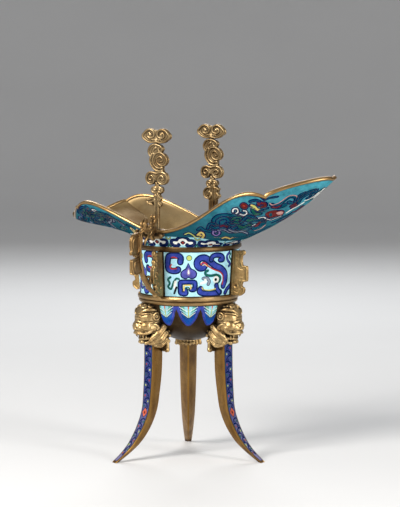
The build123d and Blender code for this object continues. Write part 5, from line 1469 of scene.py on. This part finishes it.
def make_head():
    c = Clay()
    # skull, muzzle, cheeks, jaw and the mass of the mane
    c.ball(SKULL, SKULL_R, seg=26)
    c.tube([(36.4, 0, 107.0), (41.8, 0, 102.6)], [9.2, 6.2], sides=22)
    c.ball((41.4, 0, 101.4), (6.0, 7.3, 4.9), seg=22)
    c.tube([(33.0, 0, 95.4), (40.2, 0, 95.2)], [4.8, 2.4], sides=14)
    c.tube([(31, 0, 92.4), (39.6, 0, 91.7)], [5.2, 3.0], sides=18)
    c.ball((28.6, 0, 97.6), (6.8, 10.0, 9.4), seg=22)
    flip = np.array((1.0, -1.0, 1.0))
    for s in (1, -1):
        m = np.array((1.0, s, 1.0))

        def tube(pts, radii, **kw):
            c.tube([np.asarray(q, float) * m for q in pts], radii, **kw)
        c.ball((35.6, s * 6.0, 102.4), (6.4, 4.8, 5.4), seg=18)
        c.ball((38.9, s * 5.2, 102.9), (5.9, 4.9, 4.9), seg=18)
        tube([(36.4, 6.8, 92.6), (31.6, 8.8, 96.8), (26.0, 9.0, 102.6)], [2.2, 3.2, 2.5], sides=14)
        tube([(34.8, 6.8, 89.8), (29.6, 8.7, 92.6), (24.4, 8.5, 97.6)], [2.0, 3.1, 2.4], sides=14)
        tube([(33.0, 7.0, 88.2), (28.6, 8.2, 88.6), (24.2, 7.8, 92.2)], [1.7, 2.5, 2.1], sides=12)
        # upper lip, turned up at the corner
        tube([(46.2, 0, 97.9), (45.2, 3.0, 97.5), (42.9, 5.6, 97.2), (40.2, 7.6, 97.6), (37.8, 9.0, 98.9),
              (37.2, 9.8, 100.8), (38.6, 9.9, 101.9), (39.8, 9.3, 101.1)], [1.05, 1.1, 1.1, 1.05, 1.0, 0.9, 0.75, 0.5])
        # wings of the nose
        tube([(46.2, 1.2, 104.9), (45.2, 4.0, 104.6), (43.8, 5.9, 103.0), (43.4, 6.7, 101.2)], [0.6, 0.8, 0.8, 0.5])
        c.ball((46.1, s * 2.5, 102.6), (1.3, 1.6, 1.2))
        # eye in a ring
        e = on_skull(94, 10, 1.035)
        tube(spiral(e, unitv((1, 0.1, 0)), Z, 2.7, 2.7, 1.0, 0.0, 1, 18), [0.72], step=0.4)
        c.ball(e * m, (1.5, 1.3, 1.5))
        # brow, rolled at its outer end
        tube([on_skull(16, 20, 1.02), on_skull(38, 32, 1.04), on_skull(62, 38, 1.05), on_skull(86, 36, 1.05),
              on_skull(110, 27, 1.04), on_skull(121, 12, 1.03), on_skull(112, 3, 1.03)],
             [0.7, 1.15, 1.35, 1.35, 1.2, 0.95, 0.6])
        # curls over the forehead, the crown and behind the eye
        for turn, lift, hand, r0 in ((30, 56, s, 2.2), (78, 60, s, 2.2), (128, 44, -s, 2.3), (146, 14, -s, 2.2)):
            at = on_skull(turn, lift, 1.03) * m
            nrm = (at - SKULL) / SKULL_R ** 2
            curl(c, at, nrm, r0, 0.4, 1.5, 0.8, hand, [1.15, 0.95, 0.6])
        # whisker on the cheek
        tube([(38.4, 9.7, 104.2), (36.0, 10.4, 104.6), (33.4, 10.6, 103.6), (31.8, 10.6, 101.8), (33.0, 10.6, 100.6)],
             [0.5, 0.9, 1.0, 0.9, 0.5])
        # fangs and teeth
        tube([(42.0, 5.0, 97.2), (42.4, 5.1, 95.4), (41.8, 4.8, 94.0)], [0.95, 0.75, 0.35])
        tube([(39.4, 5.0, 93.0), (40.0, 5.2, 94.6), (39.6, 5.1, 95.8)], [0.9, 0.7, 0.35])
        for y in (0.9, 2.6):
            tube([(45.0 - y * 0.4, y, 97.4), (44.8 - y * 0.4, y, 96.0)], [0.7, 0.4])
        # lower lip, chin, beard
        tube([(42.0, 0, 93.2), (41.0, 2.9, 93.2), (38.4, 5.4, 93.4), (36.4, 7.2, 94.6), (35.8, 8.4, 96.6)],
             [1.05, 1.05, 1.05, 1.0, 0.8])
        c.ball((41.2, s * 1.6, 90.6), (1.6, 1.6, 1.5))
        c.ball((38.8, s * 3.8, 89.8), (1.8, 1.7, 1.6))
        curl(c, (36.4, s * 6.2, 90.6), (0.4, s * 0.85, -0.35), 1.9, 0.4, 1.3, 0.0, s, [1.0, 0.85, 0.5])
        # ends of the mane
        for x, y, z, r in ((23.6, 9.6, 103.2, 1.7), (21.8, 9.4, 99.6, 1.6), (21.6, 8.6, 95.2, 1.6), (22.2, 8.4, 90.8, 1.5),
                           (23.4, 9.4, 106.6, 1.5)):
            c.ball((x, s * y, z), r)
        # knobs below the bowl
        for k in range(4):
            c.ball((22.4 + 0.3 * k, s * (1.35 + 2.6 * k), 83.6 + 0.5 * (k % 2)), (1.5, 1.45, 1.7))
            tube([(23.0, 1.3 + 2.5 * k, 84.6), (23.2, 1.2 + 2.4 * k, 88.6), (22.8, 1.2 + 2.2 * k, 92.0),
                  (22.6, 1.2 + 2.0 * k, 96.0)], [1.35, 1.5, 1.3, 0.8])
    v, f = c.fused(0.32, 2, 0.5)
    g = []
    # hair lines that sweep along the mane
    for d in (-1.9, -0.95, 0.0, 0.95, 1.9):
        u, w = d * 0.62, d * 0.74
        g.append([(36.6 + u, 9.0, 92.8 + w), (31.8 + u, 12.0, 96.8 + w), (26.6 + u, 11.5, 102.2 + w)])
        g.append([(34.6 + u, 9.0, 90.2 + w), (29.8 + u, 11.8, 92.7 + w), (24.8 + u, 10.9, 97.2 + w)])
    for d in (-1.0, 0.0, 1.0):
        g.append([(32.6 + d * 0.4, 8.8, 88.4 + d), (28.6 + d * 0.5, 10.7, 88.8 + d), (24.6 + d * 0.7, 9.9, 91.8 + d)])
    # creases of the nose and the lip
    g.append([(47.2, 0.0, 99.5), (45.8, 3.6, 99.2), (42.9, 6.6, 99.1), (40.4, 7.9, 99.5)])
    for x, z in ((46.6, 106.3), (45.9, 108.2), (45.6, 110.2)):
        g.append([(x, 0.0, z), (x - 0.6, 2.6, z - 0.4), (x - 2.4, 4.8, z - 1.3)])
    g.append([(45.6, 3.9, 100.9), (43.6, 6.4, 100.6), (41.6, 7.6, 101.4)])
    g.append([on_skull(16, 20), on_skull(50, 28), on_skull(78, 26)])
    e = on_skull(94, 10, 1.0)
    # round the eye, under the brow, over the snout
    g.append(list(spiral(e, unitv((1, 0.1, 0)), Z, 3.9, 3.9, 0.8, 0.3, 1, 16)))
    g.append([on_skull(24, 12), on_skull(50, 18), on_skull(72, 20)])
    g.append([on_skull(30, 46), on_skull(60, 50), on_skull(100, 44), on_skull(130, 24)])
    g.append([(44.0, 6.0, 106.2), (40.4, 8.9, 106.8), (36.8, 10.2, 106.4), (32.6, 10.7, 105.6)])
    deep = [[e + (0.7, 1.4, 0), e + (0.9, 1.4, 0)], [(47.3, 2.4, 101.8), (47.0, 2.9, 101.9)],
            [(36.6, 8.8, 97.2), (35.4, 9.6, 98.6)]]
    paths = g + [[np.asarray(q, float) * flip for q in path] for path in g]
    dips = deep + [[np.asarray(q, float) * flip for q in path] for path in deep]
    v = engrave(v, f, paths, 0.38, 0.7)
    v = engrave(v, f, dips, 0.55, 0.9)
    # the back is dished to the bowl
    d = v - (0, 0, BOWL_Z)
    r = np.linalg.norm(d, axis=1, keepdims=True)
    v = np.where(r < 35.6, (0, 0, BOWL_Z) + d / r * 35.6, v)
    return v, f


head_v, head_f = make_head()
for node, az in (("spout_head", 0.0), ("rear_head", 120.0), ("handle_side_head", 240.0)):
    done(cast("beast_" + node, head_v, head_f, M["head"], az), "gilt_bronze", node)

# ---------------------------------------------------------------------------
# legs
# ---------------------------------------------------------------------------
LEG_Z = np.array((0, 7.6, 15.2, 25.9, 38.1, 51.8, 68.6, 90.7))
LEG_R = np.array((65.5, 56, 49.1, 42.6, 37.9, 36.3, 35.3, 34.9))
LEG_W = np.array((5.4, 7.0, 8.5, 10.2, 11.4, 12.3, 13.1, 13.6))
LEG_D = np.array((4.2, 6.4, 8.5, 9.8, 10.2, 11, 11.9, 12))


def fine(z, table):
    """Smooth through the stations, never past their chords by much."""
    q = smooth_path(np.stack([LEG_Z, table], 1), 1.0)
    return np.interp(z, q[:, 0], q[:, 1])


def leg_place(azimuth, w_edge=0.9):
    a = math.radians(azimuth)
    er, et = np.array((math.cos(a), math.sin(a), 0)), np.array((-math.sin(a), math.cos(a), 0))
    zz = np.linspace(0, 90.7, 400)
    rr = fine(zz, LEG_R)
    run = np.concatenate([[0], np.cumsum(np.hypot(np.diff(zz), np.diff(rr)))])

    def place(x, y):
        z = np.interp(np.asarray(y, float), run, zz)
        r = fine(z, LEG_R)
        slope = (fine(z + 0.3, LEG_R) - fine(z - 0.3, LEG_R)) / 0.6
        w = fine(z, LEG_W) / 2 - w_edge
        t = np.asarray(x, float) / 5.0 * w
        p = np.outer(r + 0.03, er) + np.outer(t, et) + np.outer(z, (0, 0, 1.0))
        k = np.sqrt(1 + slope ** 2)
        n = np.outer(1 / k, er) + np.outer(-slope / k, (0, 0, 1.0))
        return p, n
    y0 = float(np.interp(1.6, zz, run))
    y1 = float(np.interp(90.7, zz, run))
    return Chart(place, (-5.0, 5.0, y0, y1))


def leg_pattern(y0, y1):
    sh = []
    mid = y0 + (y1 - y0) * 0.445
    for s in (-1, 1):
        sh.append(("line", "navy", None, 0.55, 0, [(s * 4.8, y0), (s * 4.8, (y0 + y1) / 2), (s * 4.8, y1)]))
    y, k = y1 - 1.6, 0
    while y > y0 + 8:
        if abs(y - mid) > 4.6:
            s = 1 if k % 2 else -1
            # cloud scroll that swings from side to side, with a bud in each bend
            sh.append(("line", "navy", None, 1.05, 0, [(s * 3.6, y + 2.0), (s * 1.0, y + 2.2), (-s * 1.8, y + 1.0),
                                                       (-s * 3.0, y - 0.6), (-s * 1.8, y - 1.8), (-s * 0.3, y - 1.0),
                                                       (-s * 0.9, y)]))
            sh.append(("disc", ("green", "red", "lime")[k % 3], None, 0.8, 0, [(s * 2.3, y - 0.2)]))
            sh.append(("line", "green", None, 0.6, 0, [(s * 4.2, y - 1.4), (s * 4.2, y), (s * 4.2, y + 1.4)]))
        y -= 4.0
        k += 1
    for w, c in ((3.9, "navy"), (3.3, "coral")):
        pts = []
        for j in range(8):
            a = j * math.pi / 4
            r = w if j % 2 == 0 else w * 0.78
            pts.append((r * math.cos(a), mid + r * 1.02 * math.sin(a)))
        sh.append(("poly", c, None, 0, 0.3, pts))
    sh.append(("poly", "darkred", None, 0, 0.3, [(-1.2, mid), (0, mid + 1.3), (1.2, mid), (0, mid - 1.3)]))
    return sh


def make_leg(azimuth):
    a = math.radians(azimuth)
    er, et = np.array((math.cos(a), math.sin(a), 0)), np.array((-math.sin(a), math.cos(a), 0))
    rings = []
    zs = np.concatenate([[0, 0.25, 0.8], np.linspace(1.6, 90.7, 100)])
    for z in zs:
        r, w, d = float(fine(z, LEG_R)), float(fine(z, LEG_W)) / 2, float(fine(z, LEG_D))
        soft = 0.35 if z > 0.5 else 0.55
        inn = w - 0.9
        sec = [(r - 0.35, -inn), (r - 0.05, -inn - 0.04), (r + 0.0, -inn - 0.3), (r - 0.03, -w + 0.25), (r - soft, -w)]
        # the flank bellies a little, with a bead along the back ridge
        for k in (0.25, 0.5, 0.75):
            y = -w + (w - 0.9) * k
            sec.append((r - soft - (d - soft - 0.6) * k, y - 0.30 * math.sin(k * math.pi)))
        sec += [(r - d + 0.75, -0.95), (r - d + 0.2, -0.7), (r - d, 0.0)]
        full = sec + [(x, -y) for x, y in sec[:-1][::-1]]
        if z < 1.0:
            m = np.mean(full, 0)
            k = 1 - (0.8 - z) * 0.12 if z < 0.8 else 1
            full = [(m[0] + (x - m[0]) * k, m[1] + (y - m[1]) * k) for x, y in full]
        rings.append([er * x + et * y + np.array((0, 0, z)) for x, y in full])
    n = len(rings[0])
    v = np.vstack(rings)
    f = [(i * n + k, i * n + (k + 1) % n, (i + 1) * n + (k + 1) % n, (i + 1) * n + k)
         for i in range(len(rings) - 1) for k in range(n)]
    f.append(tuple(range(n))[::-1])
    f.append(tuple((len(rings) - 1) * n + k for k in range(n)))
    return v, f


for part, az in (("spout_leg", 0.0), ("rear_leg", 120.0), ("handle_leg", 240.0)):
    v, f = make_leg(az)
    o = mesh_object("blade_" + part, v * MM, f, [M["leg"]])
    me = o.data
    bm = bmesh.new()
    bm.from_mesh(me)
    bmesh.ops.recalc_face_normals(bm, faces=bm.faces)
    bm.to_mesh(me)
    bm.free()
    for p in me.polygons:
        p.use_smooth = True
    try:
        me.set_sharp_from_angle(angle=math.radians(38))
    except AttributeError:
        pass
    done(o, "gilt_bronze", part)
    ch = leg_place(az)
    field, wires = lay("inlay_" + part, ch, leg_pattern(ch.box[2], ch.box[3]), "legblue", step=1.1, sink=-0.02)
    done(field, "enamel_blue", part + "_enamel")
    done(wires, "gilt_bronze")

# ---------------------------------------------------------------------------
# the solids that stay, in their metals
# ---------------------------------------------------------------------------
# the vessel body takes the bowl's near-black gilt: painted shadow
KEEP = {"vessel_body": "bowl", "lower_moulding": "mould", "upper_fillet": "fillet", "leg_pins": "gilt"}
for node, key in KEEP.items():
    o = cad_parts[node]
    o.data.materials.clear()
    o.data.materials.append(M[key])

# ---------------------------------------------------------------------------
# studio
# ---------------------------------------------------------------------------
floor_mat, nt, bsdf, co = new_mat("paper_sweep")
nt.links.new(ramp(nt, noise(nt, co, 3, 3), [(0.3, grey(0.60)), (0.7, grey(0.62))]), bsdf.inputs["Base Color"])
bsdf.inputs["Roughness"].default_value = 0.85
# a round sweep of paper: level in the middle, curving up into a wall all round
sweep = [(0.6, 0.0), (1.4, 0.0), (2.2, 0.0)]
sweep += [(2.2 + 1.6 * math.sin(math.radians(a)), 1.6 - 1.6 * math.cos(math.radians(a))) for a in range(6, 91, 6)]
sweep += [(3.8, 2.2), (3.8, 2.8)]
SIDES = 96
sv = [(0.0, 0.0, 0.0)] + [(r * math.cos(2 * math.pi * k / SIDES), r * math.sin(2 * math.pi * k / SIDES), z)
                          for r, z in sweep for k in range(SIDES)]
sf = [(0, 1 + k, 1 + (k + 1) % SIDES) for k in range(SIDES)]
for i in range(len(sweep) - 1):
    for k in range(SIDES):
        a, b = 1 + i * SIDES + k, 1 + i * SIDES + (k + 1) % SIDES
        sf.append((a, a + SIDES, b + SIDES, b))
floor = mesh_object("floor", sv, sf, [floor_mat], smooth=True)

world = bpy.data.worlds.new("studio")
scene.world = world
world.use_nodes = True
world.node_tree.nodes["Background"].inputs["Color"].default_value = (0.80, 0.81, 0.83, 1)
world.node_tree.nodes["Background"].inputs["Strength"].default_value = 0.5


def area(name, at, to, size, watts, colour=(1, 1, 1)):
    d = bpy.data.lights.new(name, "AREA")
    d.shape = "RECTANGLE"
    d.size, d.size_y = size
    d.energy = watts
    d.color = colour
    o = bpy.data.objects.new(name, d)
    o.location = at
    o.rotation_euler = (Vector(to) - Vector(at)).to_track_quat("-Z", "Y").to_euler()
    scene.collection.objects.link(o)


aim = (0, 0, 0.15)
area("key", (-0.25, -1.05, 0.85), aim, (0.45, 0.6), 22, (1.0, 0.97, 0.93))
area("right", (1.25, -0.25, 0.5), aim, (0.35, 0.9), 13, (1.0, 0.98, 0.95))
area("back", (-0.6, 1.1, 0.9), aim, (0.8, 0.5), 10, (0.96, 0.98, 1.0))

cam = bpy.data.cameras.new("camera")
cam_o = bpy.data.objects.new("camera", cam)
scene.collection.objects.link(cam_o)
cam_o.location = (0.9446, -1.6448, 0.3392)
cam_o.rotation_euler = (Vector((0.00775, 0.0044, 0.1556)) - cam_o.location).to_track_quat("-Z", "Y").to_euler()
cam.lens, cam.sensor_width, cam.sensor_fit = 177.5, 36.0, "AUTO"
cam.clip_start, cam.clip_end = 0.05, 50
scene.camera = cam_o

scene.view_settings.view_transform = "Standard"
